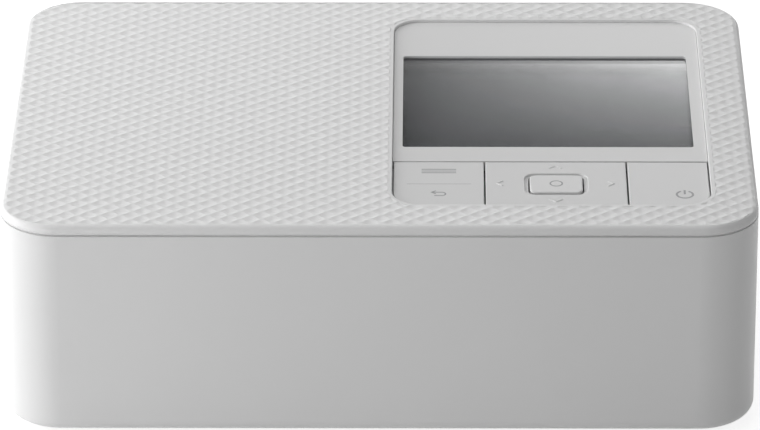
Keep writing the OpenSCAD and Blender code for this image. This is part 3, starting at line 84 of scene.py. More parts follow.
# The back axis points from target to lens; right is level, up is square to both, and both are rolled about
# the back axis. Each shift is the way from the frame's middle to the axis pixel, as a share of the width.
def placeCamera(v):
    pitch, turn, roll = (math.radians(v[key]) for key in ("pitch", "turn", "roll"))
    back = Vector((math.sin(turn) * math.cos(pitch), -math.cos(turn) * math.cos(pitch), math.sin(pitch)))
    right = (-back).cross(Vector((0, 0, 1))).normalized()
    up = right.cross(-back)
    rolledRight = math.cos(roll) * right + math.sin(roll) * up
    rolledUp = -math.sin(roll) * right + math.cos(roll) * up
    width, height = v["frame"]
    data = bpy.data.cameras.new("studioCamera")
    data.sensor_width = v["sensorWidth"]
    data.lens = v["focalPixels"] / width * v["sensorWidth"]
    data.shift_x = -(v["axisAt"][0] - width / 2) / width
    data.shift_y = (v["axisAt"][1] - height / 2) / width
    data.clip_start, data.clip_end = v["clip"]
    camera = bpy.data.objects.new("studioCamera", data)
    scene.collection.objects.link(camera)
    turned = Matrix((rolledRight, rolledUp, back)).transposed().to_4x4()
    lens = (Vector(v["target"]) + back * v["distance"]) * mm
    camera.matrix_world = Matrix.Translation(lens) @ turned
    scene.camera = camera


placeCamera(viewPoint)
print("camera placed")


# Adds a shader node and sets its sockets and properties.
def addNode(tree, kind, sockets=None, **settings):
    made = tree.nodes.new(kind)
    for key, value in settings.items():
        setattr(made, key, value)
    for key, value in (sockets or {}).items():
        made.inputs[key].default_value = value
    return made


# A material with an empty node tree but for its output node.
def emptyMaterial(name):
    material = bpy.data.materials.new(name)
    material.use_nodes = True
    tree = material.node_tree
    tree.nodes.clear()
    return material, tree, addNode(tree, "ShaderNodeOutputMaterial")


# Object coordinates in metres, stretched by a factor along each axis.
def placeCoordinates(tree, stretch=(1, 1, 1)):
    where = addNode(tree, "ShaderNodeTexCoord")
    mapping = addNode(tree, "ShaderNodeMapping", {"Scale": stretch})
    tree.links.new(where.outputs["Object"], mapping.inputs["Vector"])
    return mapping.outputs["Vector"]


# A value between low and high, in a straight line as the input goes from start to end.
def mapTo(tree, source, start, end, low, high):
    ends = {"From Min": start, "From Max": end, "To Min": low, "To Max": high}
    made = addNode(tree, "ShaderNodeMapRange", ends)
    tree.links.new(source, made.inputs["Value"])
    return made.outputs["Result"]


# A factor from 1 - spread to 1 + spread as the input goes through a span.
def shadeBy(tree, source, span, spread):
    return mapTo(tree, source, *span, 1 - spread, 1 + spread)


# Noise from 0 to 1, finer with a higher scale and richer with more detail.
def noiseValue(tree, coordinates, scale, detail=2.0, roughness=0.5):
    made = addNode(tree, "ShaderNodeTexNoise", {"Scale": scale, "Detail": detail, "Roughness": roughness})
    tree.links.new(coordinates, made.inputs["Vector"])
    return made.outputs["Fac"]


# One sum, product or maximum of two numbers or outputs.
def combine(tree, kind, first, second):
    made = addNode(tree, "ShaderNodeMath", operation=kind)
    for socket, value in zip(made.inputs, (first, second)):
        if isinstance(value, (int, float)):
            socket.default_value = value
        else:
            tree.links.new(value, socket)
    return made.outputs["Value"]


# The normal of a surface raised by a height from 0 to 1 times a depth in millimetres.
def bumpBy(tree, height, strength, depth, normal=None):
    bump = addNode(tree, "ShaderNodeBump", {"Strength": strength, "Distance": depth * mm})
    tree.links.new(height, bump.inputs["Height"])
    if normal is not None:
        tree.links.new(normal, bump.inputs["Normal"])
    return bump.outputs["Normal"]


# What all finishes share. A noise is its scale (1/m), its detail and its roughness.
surface = {
    "ior": 1.5,
    "shine": 0.5,
    "coatRough": 0.12,
    "noiseSpan": (0.3, 0.7),       # nearly all values of a noise lie here
    "toothSpan": (0, 0.8),         # and here those of the distance to a cell's centre
    "blotchNoise": (28.0, 3.0),
    "smearNoise": (90.0, 4.0, 0.6),
    "grainDetail": (2.0, 0.55),
    "grainStrength": 0.5,
    "lineDetail": (3.0, 0.6),
    "bandWander": {"Distortion": 0.6, "Detail": 2.0, "Detail Scale": 2.0},
    "traceShape": {
        "Mortar Size": 0.09, "Mortar Smooth": 0.2, "Bias": 0.0, "Brick Width": 0.9, "Row Height": 0.22},
    "patternStrength": 0.6,
    "edgeSamples": 4,
    "wornSpan": (0.97, 0.78),      # cosine between the rounded and the true normal, from no wear to full wear
    "wornNoise": (260.0, 3.0),
    "wornPatches": (0.35, 0.65, 0.25, 1.0),  # span of that noise, and least and greatest share of the wear
    "wornRough": -0.12,            # change of the roughness at full wear
}


# Pattern functions: each gives a height from 0 to 1 and a shade factor near 1 from Object coordinates.
# A plain surface has neither.
def grainOnly(tree, look):
    return None, None


# Noise drawn out along one axis, like the lines that a brush or a rolling mill leaves.
def drawnLines(tree, look):
    stretched = placeCoordinates(tree, look["stretch"])
    lines = noiseValue(tree, stretched, look["lineScale"], *surface["lineDetail"])
    return lines, shadeBy(tree, lines, surface["noiseSpan"], look["lineShade"])


# Cells of a Voronoi diagram, each with its own shade, like the crystals on galvanised steel.
def crystals(tree, look):
    cells = addNode(tree, "ShaderNodeTexVoronoi", {"Scale": look["cellScale"]})
    tree.links.new(placeCoordinates(tree), cells.inputs["Vector"])
    grey = addNode(tree, "ShaderNodeSeparateColor")
    tree.links.new(cells.outputs["Color"], grey.inputs["Color"])
    return grey.outputs["Green"], shadeBy(tree, grey.outputs["Red"], (0, 1), look["cellShade"])


# Distance to the nearest cell centre, one small tooth for each cell.
def teeth(tree, look):
    cells = addNode(tree, "ShaderNodeTexVoronoi", {"Scale": look["cellScale"]})
    tree.links.new(placeCoordinates(tree), cells.inputs["Vector"])
    away = cells.outputs["Distance"]
    return away, shadeBy(tree, away, surface["toothSpan"], look["cellShade"])


# Sine bands along one axis, such as turning marks on a shaft or the turns of a wound film.
def bands(tree, look):
    sockets = {"Scale": look["bandScale"], **surface["bandWander"]}
    wave = addNode(tree, "ShaderNodeTexWave", sockets, wave_type="BANDS", bands_direction=look["bandAxis"])
    tree.links.new(placeCoordinates(tree), wave.inputs["Vector"])
    return wave.outputs["Fac"], shadeBy(tree, wave.outputs["Fac"], (0, 1), look["bandShade"])


# A grid of bricks whose joints stand for the copper traces under the mask of a circuit board.
def traces(tree, look):
    grid = addNode(tree, "ShaderNodeTexBrick", {"Scale": look["traceScale"], **surface["traceShape"]})
    tree.links.new(placeCoordinates(tree), grid.inputs["Vector"])
    return grid.outputs["Fac"], shadeBy(tree, grid.outputs["Fac"], (0, 1), look["traceShade"])


# Principled shader whose colour is the base times a slow blotch and the pattern's shade, lightened where the
# rounded normal leaves the true one (worn edges); its roughness wanders with a finer noise and its normal has
# grain and pattern.
def finishMaterial(name, look):
    s = surface
    material, tree, output = emptyMaterial(name)
    body = addNode(tree, "ShaderNodeBsdfPrincipled", {
        "Metallic": look["metal"], "IOR": s["ior"], "Specular IOR Level": s["shine"],
        "Coat Weight": look["coat"], "Coat Roughness": s["coatRough"]})
    tree.links.new(body.outputs["BSDF"], output.inputs["Surface"])
    plain = placeCoordinates(tree)
    height, shade = look["pattern"](tree, look)
    blotch = shadeBy(tree, noiseValue(tree, plain, *s["blotchNoise"]), s["noiseSpan"], look["blotch"])
    if shade is not None:
        blotch = combine(tree, "MULTIPLY", blotch, shade)
    tint = addNode(tree, "ShaderNodeVectorMath", {0: look["colour"]}, operation="SCALE")
    tree.links.new(blotch, tint.inputs["Scale"])
    rounded = addNode(tree, "ShaderNodeBevel", {"Radius": look["edge"] * mm}, samples=s["edgeSamples"])
    true = addNode(tree, "ShaderNodeNewGeometry")
    agreement = addNode(tree, "ShaderNodeVectorMath", operation="DOT_PRODUCT")
    tree.links.new(rounded.outputs["Normal"], agreement.inputs[0])
    tree.links.new(true.outputs["Normal"], agreement.inputs[1])
    rubbed = mapTo(tree, agreement.outputs["Value"], *s["wornSpan"], 0, look["wear"])
    patches = mapTo(tree, noiseValue(tree, plain, *s["wornNoise"]), *s["wornPatches"])
    worn = combine(tree, "MULTIPLY", rubbed, patches)
    colour = addNode(tree, "ShaderNodeMix", data_type="RGBA")
    tree.links.new(worn, colour.inputs[0])
    tree.links.new(tint.outputs["Vector"], colour.inputs["A"])
    colour.inputs["B"].default_value = (*look["wornColour"], 1)
    tree.links.new(colour.outputs["Result"], body.inputs["Base Color"])
    least, most = look["rough"] - look["roughSpread"], look["rough"] + look["roughSpread"]
    wander = mapTo(tree, noiseValue(tree, plain, *s["smearNoise"]), *s["noiseSpan"], least, most)
    change = combine(tree, "MULTIPLY", worn, s["wornRough"])
    tree.links.new(combine(tree, "ADD", wander, change), body.inputs["Roughness"])
    fine = noiseValue(tree, plain, look["grainScale"], *s["grainDetail"])
    normal = bumpBy(tree, fine, s["grainStrength"], look["grain"], rounded.outputs["Normal"])
    if height is not None:
        normal = bumpBy(tree, height, s["patternStrength"], look["patternDepth"], normal)
    tree.links.new(normal, body.inputs["Normal"])
    return material


# The same value for red, green and blue.
def grey(value):
    return (value,) * 3


# In each look: colour and wornColour; blotch, the share by which the colour varies; rough, give or take
# roughSpread; grainScale in 1/m; grain and patternDepth, mm deep; edge, mm by which edges look rounded; wear
# from 0 to 1; then the pattern with its scale and its share of shade.
plainPlastic = {
    "metal": 0.0, "coat": 0.0, "blotch": 0.03, "rough": 0.42, "roughSpread": 0.05,
    "grainScale": 1500.0, "grain": 0.03, "edge": 0.2, "wear": 0.5, "pattern": grainOnly,
}
whitePlastic = {
    **plainPlastic, "colour": grey(0.80), "wornColour": grey(0.86), "blotch": 0.006, "roughSpread": 0.03,
    "grainScale": 2600.0, "grain": 0.012, "edge": 0.25,
}
bareMetal = {
    **plainPlastic, "metal": 1.0, "blotch": 0.05, "rough": 0.36, "roughSpread": 0.07,
    "grainScale": 1800.0, "grain": 0.012, "edge": 0.15,
}
faceShell = {**whitePlastic, "grain": 0.004, "edge": 0.1}  # polished faces of the control panel


# A base with a few values of one piece's own.
def lookOf(base, **own):
    return {**base, **own}


finishes = {
    "top_cover": lookOf(whitePlastic, rough=0.5, grain=0.016),
    "body_shell": lookOf(whitePlastic, colour=grey(0.79), rough=0.4),
    "front_cover": lookOf(whitePlastic, rough=0.4, edge=0.3),
    "base_tray": lookOf(
        whitePlastic, colour=grey(0.66), wornColour=grey(0.74), rough=0.52, grain=0.03, grainScale=1900.0),
    "feet": lookOf(
        plainPlastic, colour=(0.085, 0.085, 0.087), wornColour=grey(0.14), blotch=0.16, rough=0.82,
        roughSpread=0.06, grain=0.05, edge=0.3),
    "screws": lookOf(
        bareMetal, colour=(0.60, 0.60, 0.58), wornColour=(0.78, 0.78, 0.76), blotch=0.08, rough=0.32,
        roughSpread=0.08, grainScale=2500.0, grain=0.01, edge=0.12,
        pattern=bands, bandScale=900.0, bandAxis="Z", bandShade=0.06, patternDepth=0.02),
    "panel": lookOf(
        faceShell, colour=grey(0.735), wornColour=grey(0.745), blotch=0.0, rough=0.27, roughSpread=0.0,
        edge=0.15, wear=0.0),
    "keys": lookOf(
        faceShell, colour=grey(0.73), wornColour=grey(0.74), blotch=0.003, rough=0.28, roughSpread=0.006),
    "ok_key": lookOf(
        faceShell, colour=grey(0.75), wornColour=grey(0.77), blotch=0.003, rough=0.34, roughSpread=0.006),
    "inner_plastic": lookOf(
        plainPlastic, colour=(0.12, 0.12, 0.13), wornColour=(0.2, 0.2, 0.21), blotch=0.08, rough=0.5,
        roughSpread=0.06, grainScale=1700.0, grain=0.04, wear=0.4),
    "grey_plastic": lookOf(
        plainPlastic, colour=(0.45, 0.45, 0.46), wornColour=(0.55, 0.55, 0.56), rough=0.45,
        grainScale=1700.0, wear=0.4),
    "circuit_board": lookOf(
        plainPlastic, colour=(0.035, 0.19, 0.09), wornColour=(0.32, 0.34, 0.2), blotch=0.1, rough=0.3,
        roughSpread=0.06, grainScale=3000.0, grain=0.008, edge=0.1, wear=0.6,
        pattern=traces, traceScale=170.0, traceShade=0.28, patternDepth=0.035),
    "tin": lookOf(
        bareMetal, colour=(0.68, 0.68, 0.66), wornColour=(0.82, 0.82, 0.8), blotch=0.06, rough=0.3,
        roughSpread=0.08,
        pattern=drawnLines, stretch=(1, 14, 14), lineScale=120.0, lineShade=0.05, patternDepth=0.01),
    "sheet_metal": lookOf(
        bareMetal, colour=(0.62, 0.62, 0.61), wornColour=(0.8, 0.8, 0.79), grainScale=1500.0, edge=0.18,
        pattern=crystals, cellScale=210.0, cellShade=0.1, patternDepth=0.008),
    "shafts": lookOf(
        bareMetal, colour=(0.72, 0.72, 0.73), wornColour=grey(0.85), blotch=0.03, rough=0.16,
        roughSpread=0.05, grainScale=3000.0, grain=0.004, edge=0.12, wear=0.4,
        pattern=bands, bandScale=1300.0, bandAxis="X", bandShade=0.05, patternDepth=0.006),
    "roller_rubber": lookOf(
        plainPlastic, colour=(0.055, 0.055, 0.057), wornColour=grey(0.11), blotch=0.14, rough=0.78,
        roughSpread=0.07, grainScale=2200.0, grain=0.04, edge=0.25,
        pattern=bands, bandScale=420.0, bandAxis="X", bandShade=0.08, patternDepth=0.02),
    "capstan": lookOf(
        bareMetal, colour=(0.55, 0.55, 0.56), wornColour=grey(0.75), blotch=0.04, rough=0.38,
        roughSpread=0.08, grainScale=2600.0, grain=0.01, edge=0.1, wear=0.4,
        pattern=teeth, cellScale=1500.0, cellShade=0.22, patternDepth=0.12),
    "gears": lookOf(
        plainPlastic, colour=(0.84, 0.83, 0.77), wornColour=(0.9, 0.89, 0.84), blotch=0.02, rough=0.36,
        grainScale=1600.0, grain=0.015, edge=0.12, wear=0.4),
    "brass": lookOf(
        bareMetal, colour=(0.74, 0.53, 0.25), wornColour=(0.88, 0.7, 0.4), blotch=0.07, rough=0.34,
        roughSpread=0.08, grainScale=2400.0, grain=0.02, edge=0.12,
        pattern=bands, bandScale=1100.0, bandAxis="X", bandShade=0.07, patternDepth=0.012),
    "motor_can": lookOf(
        bareMetal, colour=(0.58, 0.58, 0.59), wornColour=(0.76, 0.76, 0.77), blotch=0.06, rough=0.28,
        grainScale=2000.0, grain=0.01, edge=0.2,
        pattern=drawnLines, stretch=(1, 20, 20), lineScale=90.0, lineShade=0.06, patternDepth=0.01),
    "heatsink": lookOf(
        bareMetal, colour=(0.70, 0.71, 0.72), wornColour=(0.84, 0.85, 0.86), rough=0.4, grain=0.015,
        pattern=drawnLines, stretch=(0.05, 1, 1), lineScale=2200.0, lineShade=0.08, patternDepth=0.02),
    "print_head": lookOf(
        plainPlastic, colour=(0.26, 0.1, 0.065), wornColour=(0.5, 0.3, 0.22), blotch=0.08, rough=0.14,
        coat=0.6, grainScale=2600.0, grain=0.006, edge=0.12,
        pattern=bands, bandScale=1600.0, bandAxis="X", bandShade=0.12, patternDepth=0.004),
    "ink_case": lookOf(
        plainPlastic, colour=(0.17, 0.18, 0.19), wornColour=(0.26, 0.27, 0.28), blotch=0.05, rough=0.48,
        roughSpread=0.06, grain=0.05, edge=0.25),
    "spools": lookOf(plainPlastic, colour=(0.53, 0.54, 0.56), wornColour=(0.64, 0.65, 0.67)),
    "film": lookOf(
        plainPlastic, colour=(0.05, 0.05, 0.09), wornColour=(0.12, 0.1, 0.18), blotch=0.2, rough=0.2,
        roughSpread=0.08, coat=0.5, grainScale=900.0, grain=0.012, edge=0.1,
        pattern=drawnLines, stretch=(20, 1, 1), lineScale=60.0, lineShade=0.16, patternDepth=0.03),
    "lever": lookOf(plainPlastic, colour=(0.17, 0.38, 0.60), wornColour=(0.3, 0.5, 0.7), edge=0.25),
    "lidRelief": lookOf(whitePlastic, rough=0.5, grain=0.016, edge=0.03),
    "printedMarks": lookOf(
        whitePlastic, colour=(0.34, 0.34, 0.35), wornColour=grey(0.5), blotch=0.05, rough=0.5, edge=0.02),
}
materials = {name: finishMaterial(name, look) for name, look in finishes.items()}

screenLook = {
    "colour": (0.03, 0.031, 0.033),   # liquid crystal with its light off
    "ior": 1.5,
    "cellsPerMetre": 4400.0,          # picture cells, 0.23 mm apart
    "cellShape": {"Mortar Size": 0.06, "Mortar Smooth": 0.4, "Brick Width": 0.5, "Row Height": 0.5},
    "cellShade": 0.1,                 # by how much neighbours differ
    "jointShade": 0.6,                # share of the colour between cells
    "rough": 0.24,
    "roughSpread": 0.03,
    "roughNoise": (40.0, 3.0),
    "bumpStrength": 0.2,
    "bumpDepth": 0.003,               # mm
}


# Dark glass with a fine grid of picture cells: bricks as wide as they are high, with soft dark joints.
def makeScreen(look):
    material = bpy.data.materials.new("display")
    material.use_nodes = True
    tree = material.node_tree
    body = tree.nodes["Principled BSDF"]
    body.inputs["IOR"].default_value = look["ior"]
    brick = look["cellShape"]["Brick Width"]
    sockets = {"Scale": look["cellsPerMetre"] * brick, **look["cellShape"]}
    grid = addNode(tree, "ShaderNodeTexBrick", sockets, offset=0.0)
    for socket, share in {"Color1": 1, "Color2": 1 + look["cellShade"], "Mortar": look["jointShade"]}.items():
        grid.inputs[socket].default_value = (*(c * share for c in look["colour"]), 1)
    plain = placeCoordinates(tree)
    tree.links.new(plain, grid.inputs["Vector"])
    tree.links.new(grid.outputs["Color"], body.inputs["Base Color"])
    least, most = look["rough"] - look["roughSpread"], look["rough"] + look["roughSpread"]
    wander = mapTo(tree, noiseValue(tree, plain, *look["roughNoise"]), *surface["noiseSpan"], least, most)
    tree.links.new(wander, body.inputs["Roughness"])
    normal = bumpBy(tree, grid.outputs["Fac"], look["bumpStrength"], look["bumpDepth"])
    tree.links.new(normal, body.inputs["Normal"])
    return material


glassLook = {
    "tint": (0.93, 0.94, 0.95),
    "ior": 1.5,
    "rough": 0.03,
    "smear": 0.02,                    # how much the roughness rises where a finger has been
    "smearNoise": (45.0, 5.0, 0.6),
    "smearSpan": (0.45, 0.8),
    "waveNoise": (22.0, 1.0),         # slow waves of a moulded sheet
    "waveStrength": 0.15,
    "waveDepth": 0.02,                # mm
}


# Clear sheet that lets lamps through: on shadow rays a Transparent shader takes the place of the glass.
def makeGlass(look):
    material = bpy.data.materials.new("window")
    material.use_nodes = True
    tree = material.node_tree
    body = tree.nodes["Principled BSDF"]
    body.inputs["Base Color"].default_value = (*look["tint"], 1)
    body.inputs["Transmission Weight"].default_value = 1.0
    body.inputs["IOR"].default_value = look["ior"]
    plain = placeCoordinates(tree)
    smear = noiseValue(tree, plain, *look["smearNoise"])
    rough = mapTo(tree, smear, *look["smearSpan"], look["rough"], look["rough"] + look["smear"])
    tree.links.new(rough, body.inputs["Roughness"])
    waves = noiseValue(tree, plain, *look["waveNoise"])
    tree.links.new(bumpBy(tree, waves, look["waveStrength"], look["waveDepth"]), body.inputs["Normal"])
    clear = addNode(tree, "ShaderNodeBsdfTransparent", {"Color": (*look["tint"], 1)})
    path = addNode(tree, "ShaderNodeLightPath")
    either = addNode(tree, "ShaderNodeMixShader")
    tree.links.new(path.outputs["Is Shadow Ray"], either.inputs["Fac"])
    tree.links.new(body.outputs["BSDF"], either.inputs[1])
    tree.links.new(clear.outputs["BSDF"], either.inputs[2])
    tree.links.new(either.outputs["Shader"], tree.nodes["Material Output"].inputs["Surface"])
    return material


materials["display"] = makeScreen(screenLook)
materials["window"] = makeGlass(glassLook)

for entry in frame["record"]["subparts"]:
    mesh = solids[entry["node"]].data
    mesh.materials.clear()
    mesh.materials.append(materials[entry["material_slot"]])


# Puts points and faces (rows of indices) into a mesh object at the origin; points come in millimetres.
def putMesh(name, points, faces, material, smooth=True):
    mesh = bpy.data.meshes.new(name)
    mesh.from_pydata((np.asarray(points, float) * mm).tolist(), [], [list(map(int, face)) for face in faces])
    mesh.materials.append(material)
    if smooth:
        mesh.shade_smooth()
    piece = bpy.data.objects.new(name, mesh)
    scene.collection.objects.link(piece)
    return piece


# Puts an edited copy of a solid into a mesh object; edges sharper than the angle, in degrees, stay sharp.
def putCopy(name, bm, material, sharpAngle):
    mesh = bpy.data.meshes.new(name)
    bm.to_mesh(mesh)
    bm.free()
    mesh.materials.append(material)
    mesh.shade_smooth()
    mesh.set_sharp_from_angle(angle=math.radians(sharpAngle))
    piece = bpy.data.objects.new(name, mesh)
    scene.collection.objects.link(piece)
    return piece


# Signed distance to a rectangle with round corners, below zero inside.
def roundedBox(x, y, centre, half, radius):
    qx, qy = np.abs(x - centre[0]) - half[0] + radius, np.abs(y - centre[1]) - half[1] + radius
    return np.hypot(np.maximum(qx, 0), np.maximum(qy, 0)) + np.minimum(np.maximum(qx, qy), 0) - radius


# Direction in which a distance grows fastest: its change over a small step to both sides along x and along y.
def steepest(distance, x, y, step):
    gx = (distance(x + step, y) - distance(x - step, y)) / (2 * step)
    gy = (distance(x, y + step) - distance(x, y - step)) / (2 * step)
    return gx, gy


relief = {
    "halfPitch": (2.6, 2.115),   # mm, half the diagonals of one diamond
    "middle": (-28.38, -0.73),   # mm, centre of one of the diamonds
    "turn": 0.3,                 # degrees, the pattern against the long side
    "corner": 3.0,               # 2 gives a round hollow in a diamond, a high value a square one
    "bowl": 1.8,                 # 1 gives straight sides, 2 a round bottom
    "floor": 57.36,              # mm, lowest point of a hollow
    "crest": 57.59,              # mm, highest point, where four diamonds meet
    "under": 57.26,              # mm, just inside the lid that carries it
    "steps": 8,                  # mesh steps along the side of a diamond
    "reach": 40,                 # diamonds each way from the middle, enough to pass the lid's corners
    "keepInside": 0.12,          # mm, squares whose middle is nearer to an outline are left out
    "trims": 3,                  # rounds of taking away squares that hang on at the rim
    "probe": 1e-4,               # mm, step that finds the way to the outline
    "creaseAngle": 10.0,         # degrees, edges sharper than this stay sharp
    "outer": ((0.0, 0.0), (90.4, 64.8), 12.8),   # centre, half size, corner radius
    "body": ((0.0, 0.0), (91.1, 66.5), 14.0),    # the lid's outline
    "bodyRound": 1.6,            # mm, radius of its upper edge
    "inner": ((41.5, 0.5), (39.6, 55.1), 8.1),
}


# The lid's diamond relief. On a slanted grid 2u = x/a + y/b, 2v = x/a - y/b one diamond is a unit square. Its
# hollow is a bowl with round corners, a power of twice the p-norm of (u, v) and at most 1, so neighbours meet
# in a sharp crest at the middle of each side and leave a small flat at each corner. It lies at most as high
# as the circle that rounds the lid's upper edge. Squares whose middle is inside the outlines stay, vertices
# on the rim move onto the outline, and the skin is closed by a wall and an underside.
def makeRelief(r):
    a, b = r["halfPitch"]
    n = r["steps"]
    line = np.arange(-r["reach"] * n, r["reach"] * n + 1) / n
    u, v = np.meshgrid(line, line, indexing="ij")
    cos, sin = math.cos(math.radians(r["turn"])), math.sin(math.radians(r["turn"]))
    along, across = (u + v) * a, (u - v) * b
    x = along * cos - across * sin + r["middle"][0]
    y = along * sin + across * cos + r["middle"][1]

    # Distance to the relief's area: outside the outer outline or inside the inner one it is above zero.
    def distance(px, py):
        return np.maximum(roundedBox(px, py, *r["outer"]), -roundedBox(px, py, *r["inner"]))

    index = np.arange(x.size).reshape(x.shape)
    corners = [index[:-1, :-1], index[:-1, 1:], index[1:, 1:], index[1:, :-1]]
    quads = np.stack(corners, axis=-1).reshape(-1, 4)
    x, y = x.ravel(), y.ravel()
    quads = quads[distance(x[quads].mean(axis=1), y[quads].mean(axis=1)) < -r["keepInside"]]

    # True at each vertex with an edge that only one square uses.
    def rimOf(faces):
        edges = np.sort(np.stack([faces, np.roll(faces, -1, axis=1)], axis=-1).reshape(-1, 2), axis=1)
        pairs, counts = np.unique(edges, axis=0, return_counts=True)
        onRim = np.zeros(x.size, bool)
        onRim[pairs[counts == 1].ravel()] = True
        return onRim

    for _ in range(r["trims"]):
        onRim = rimOf(quads)
        quads = quads[onRim[quads].sum(axis=1) < 4]
    onRim = rimOf(quads)
    d = distance(x, y)
    gx, gy = steepest(distance, x, y, r["probe"])
    x, y = np.where(onRim, x - d * gx, x), np.where(onRim, y - d * gy, y)
    along = (x - r["middle"][0]) * cos + (y - r["middle"][1]) * sin
    across = (y - r["middle"][1]) * cos - (x - r["middle"][0]) * sin
    u, v = (along / a + across / b) / 2, (along / a - across / b) / 2
    u, v = np.abs(u - np.round(u)), np.abs(v - np.round(v))
    norm = (u ** r["corner"] + v ** r["corner"]) ** (1 / r["corner"])
    height = np.minimum(2 * norm, 1) ** r["bowl"]
    z = r["floor"] + (r["crest"] - r["floor"]) * height
    inward = np.clip(r["bodyRound"] + roundedBox(x, y, *r["body"]), 0, r["bodyRound"])
    z = np.minimum(z, r["crest"] - r["bodyRound"] + np.sqrt(r["bodyRound"] ** 2 - inward ** 2))
    used = np.unique(quads)
    renumber = np.full(x.size, -1)
    renumber[used] = np.arange(used.size)
    quads = renumber[quads]
    points = np.stack([x[used], y[used], z[used]], axis=1)
    first = points[quads[0]]
    if np.cross(first[1] - first[0], first[2] - first[0])[2] < 0:
        quads = quads[:, ::-1]
    skin = putMesh("diamond_relief", points, quads, materials["lidRelief"])
    bm = bmesh.new()
    bm.from_mesh(skin.data)
    rim = [edge for edge in bm.edges if edge.is_boundary]
    lower = bmesh.ops.extrude_edge_only(bm, edges=rim)["geom"]
    for vertex in (g for g in lower if isinstance(g, bmesh.types.BMVert)):
        vertex.co.z = r["under"] * mm
    loops = [g for g in lower if isinstance(g, bmesh.types.BMEdge)]
    floor = bmesh.ops.triangle_fill(bm, edges=loops, use_beauty=False, normal=(0, 0, -1))["geom"]
    for face in (g for g in [*lower, *floor] if isinstance(g, bmesh.types.BMFace)):
        face.smooth = False
    bmesh.ops.recalc_face_normals(bm, faces=bm.faces)
    gaps = sum(1 for edge in bm.edges if not edge.is_manifold)
    bm.to_mesh(skin.data)
    bm.free()
    skin.data.set_sharp_from_angle(angle=math.radians(r["creaseAngle"]))
    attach(skin, "housing")
    print("relief:", len(skin.data.polygons), "faces,", gaps, "open edges")


makeRelief(relief)

border = {
    "panel": ((41.5, 0.5), (38.5, 54.0), 7.0),   # centre, half size, corner radius of the recess
    "slopeTop": 0.8,     # mm outside that outline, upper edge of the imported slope
    "fieldEdge": 1.1,    # mm outside it, where the relief starts
    "wallTop": 0.1,      # mm outside it, upper edge of the shown wall
    "wallHeight": 57.42, # mm
    "outerHeight": 57.47,
    "sideHeight": 57.3,  # mm, side rims under the relief
    "sideWidth": 1.75,   # mm, from the lid's outline
    "sideInside": 0.02,  # mm, how far inside the relief's outline a lowered point lies at least
    "reach": 0.1,        # mm past the relief's start where points still belong to the border
    "topBand": 0.01,     # mm, points within it of the highest one are on the top face
    "probe": 1e-3,       # mm, step that finds the way to the outline
    "sharpAngle": 25.0,  # degrees
}


# The lid with a crisper recess: the slope's upper edge is drawn in to the panel and lowered, so that the
# slope turns into a short wall with a nearly level border round it. The side rims go down under the relief.
def makeLid(b):
    bm = bmesh.new()
    bm.from_mesh(solids["top_cover"].data)
    bmesh.ops.remove_doubles(bm, verts=bm.verts, dist=weld)
    top = max(vertex.co.z for vertex in bm.verts)
    moved = 0

    # Distance to the outline of the recess.
    def distance(x, y):
        return roundedBox(x, y, *b["panel"])

    for vertex in bm.verts:
        x, y = vertex.co.x / mm, vertex.co.y / mm
        nearSide = roundedBox(x, y, *relief["body"]) > -b["sideWidth"]
        underRelief = roundedBox(x, y, *relief["outer"]) < -b["sideInside"]
        if nearSide and underRelief and vertex.co.z > b["sideHeight"] * mm:
            vertex.co.z = b["sideHeight"] * mm
            moved += 1
            continue
        off = distance(x, y)
        if vertex.co.z < top - b["topBand"] * mm or off > b["fieldEdge"] + b["reach"]:
            continue
        if off < (b["slopeTop"] + b["fieldEdge"]) / 2:
            gx, gy = steepest(distance, x, y, b["probe"])
            shift = off - b["wallTop"]
            vertex.co = Vector((x - gx * shift, y - gy * shift, b["wallHeight"])) * mm
        else:
            vertex.co.z = b["outerHeight"] * mm
        moved += 1
    lid = putCopy("lid_skin", bm, materials["top_cover"], b["sharpAngle"])
    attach(lid, "housing")
    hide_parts("top_cover")
    print("lid border: moved", moved, "vertices")


makeLid(border)

keyCaps = {
    "menu_cap": ("menu_back_key", "menu_key", "keys"),   # new name: solid, body, finish
    "arrow_cap": ("arrow_key", "arrow_key", "keys"),
    "power_cap": ("power_key", "power_key", "keys"),
    "ok_cap": ("ok_key", "ok_key", "ok_key"),
}
keyEdge = {
    "round": {"keys": 0.28, "ok_key": 0.32},  # mm
    "steps": 3,
    "flatAngle": 0.5,    # degrees, faces that differ by less become one
    "topTilt": 0.9,      # a face whose normal rises more than this is the top
    "wallTilt": 0.5,     # and one whose normal rises less than this a wall
    "sharpAngle": 40.0,  # degrees
}


# A packed key with its upper rims rounded: the edges at the top face, where it meets an upright wall, get a
# fillet.
def makeCap(name, source, body, slot):
    e = keyEdge
    bm = bmesh.new()
    bm.from_mesh(solids[source].data)
    bmesh.ops.remove_doubles(bm, verts=bm.verts, dist=weld)
    bmesh.ops.dissolve_limit(bm, angle_limit=math.radians(e["flatAngle"]), verts=bm.verts, edges=bm.edges)
    top = max(vertex.co.z for vertex in bm.verts)
    rims = []
    for edge in bm.edges:
        if len(edge.link_faces) == 2 and min(vertex.co.z for vertex in edge.verts) > top - weld:
            lower, upper = sorted(face.normal.z for face in edge.link_faces)
            if upper > e["topTilt"] and lower < e["wallTilt"]:
                rims.append(edge)
    bmesh.ops.bevel(bm, geom=rims, offset=e["round"][slot] * mm, segments=e["steps"], profile=0.5,
                    affect="EDGES", clamp_overlap=True)
    cap = putCopy(name, bm, materials[slot], e["sharpAngle"])
    weighted = cap.modifiers.new("evenShading", "WEIGHTED_NORMAL")
    weighted.keep_sharp = True
    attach(cap, body)
    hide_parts(source)
    print("key cap", name, "rims", len(rims))


for capName, (source, body, slot) in keyCaps.items():
    makeCap(capName, source, body, slot)


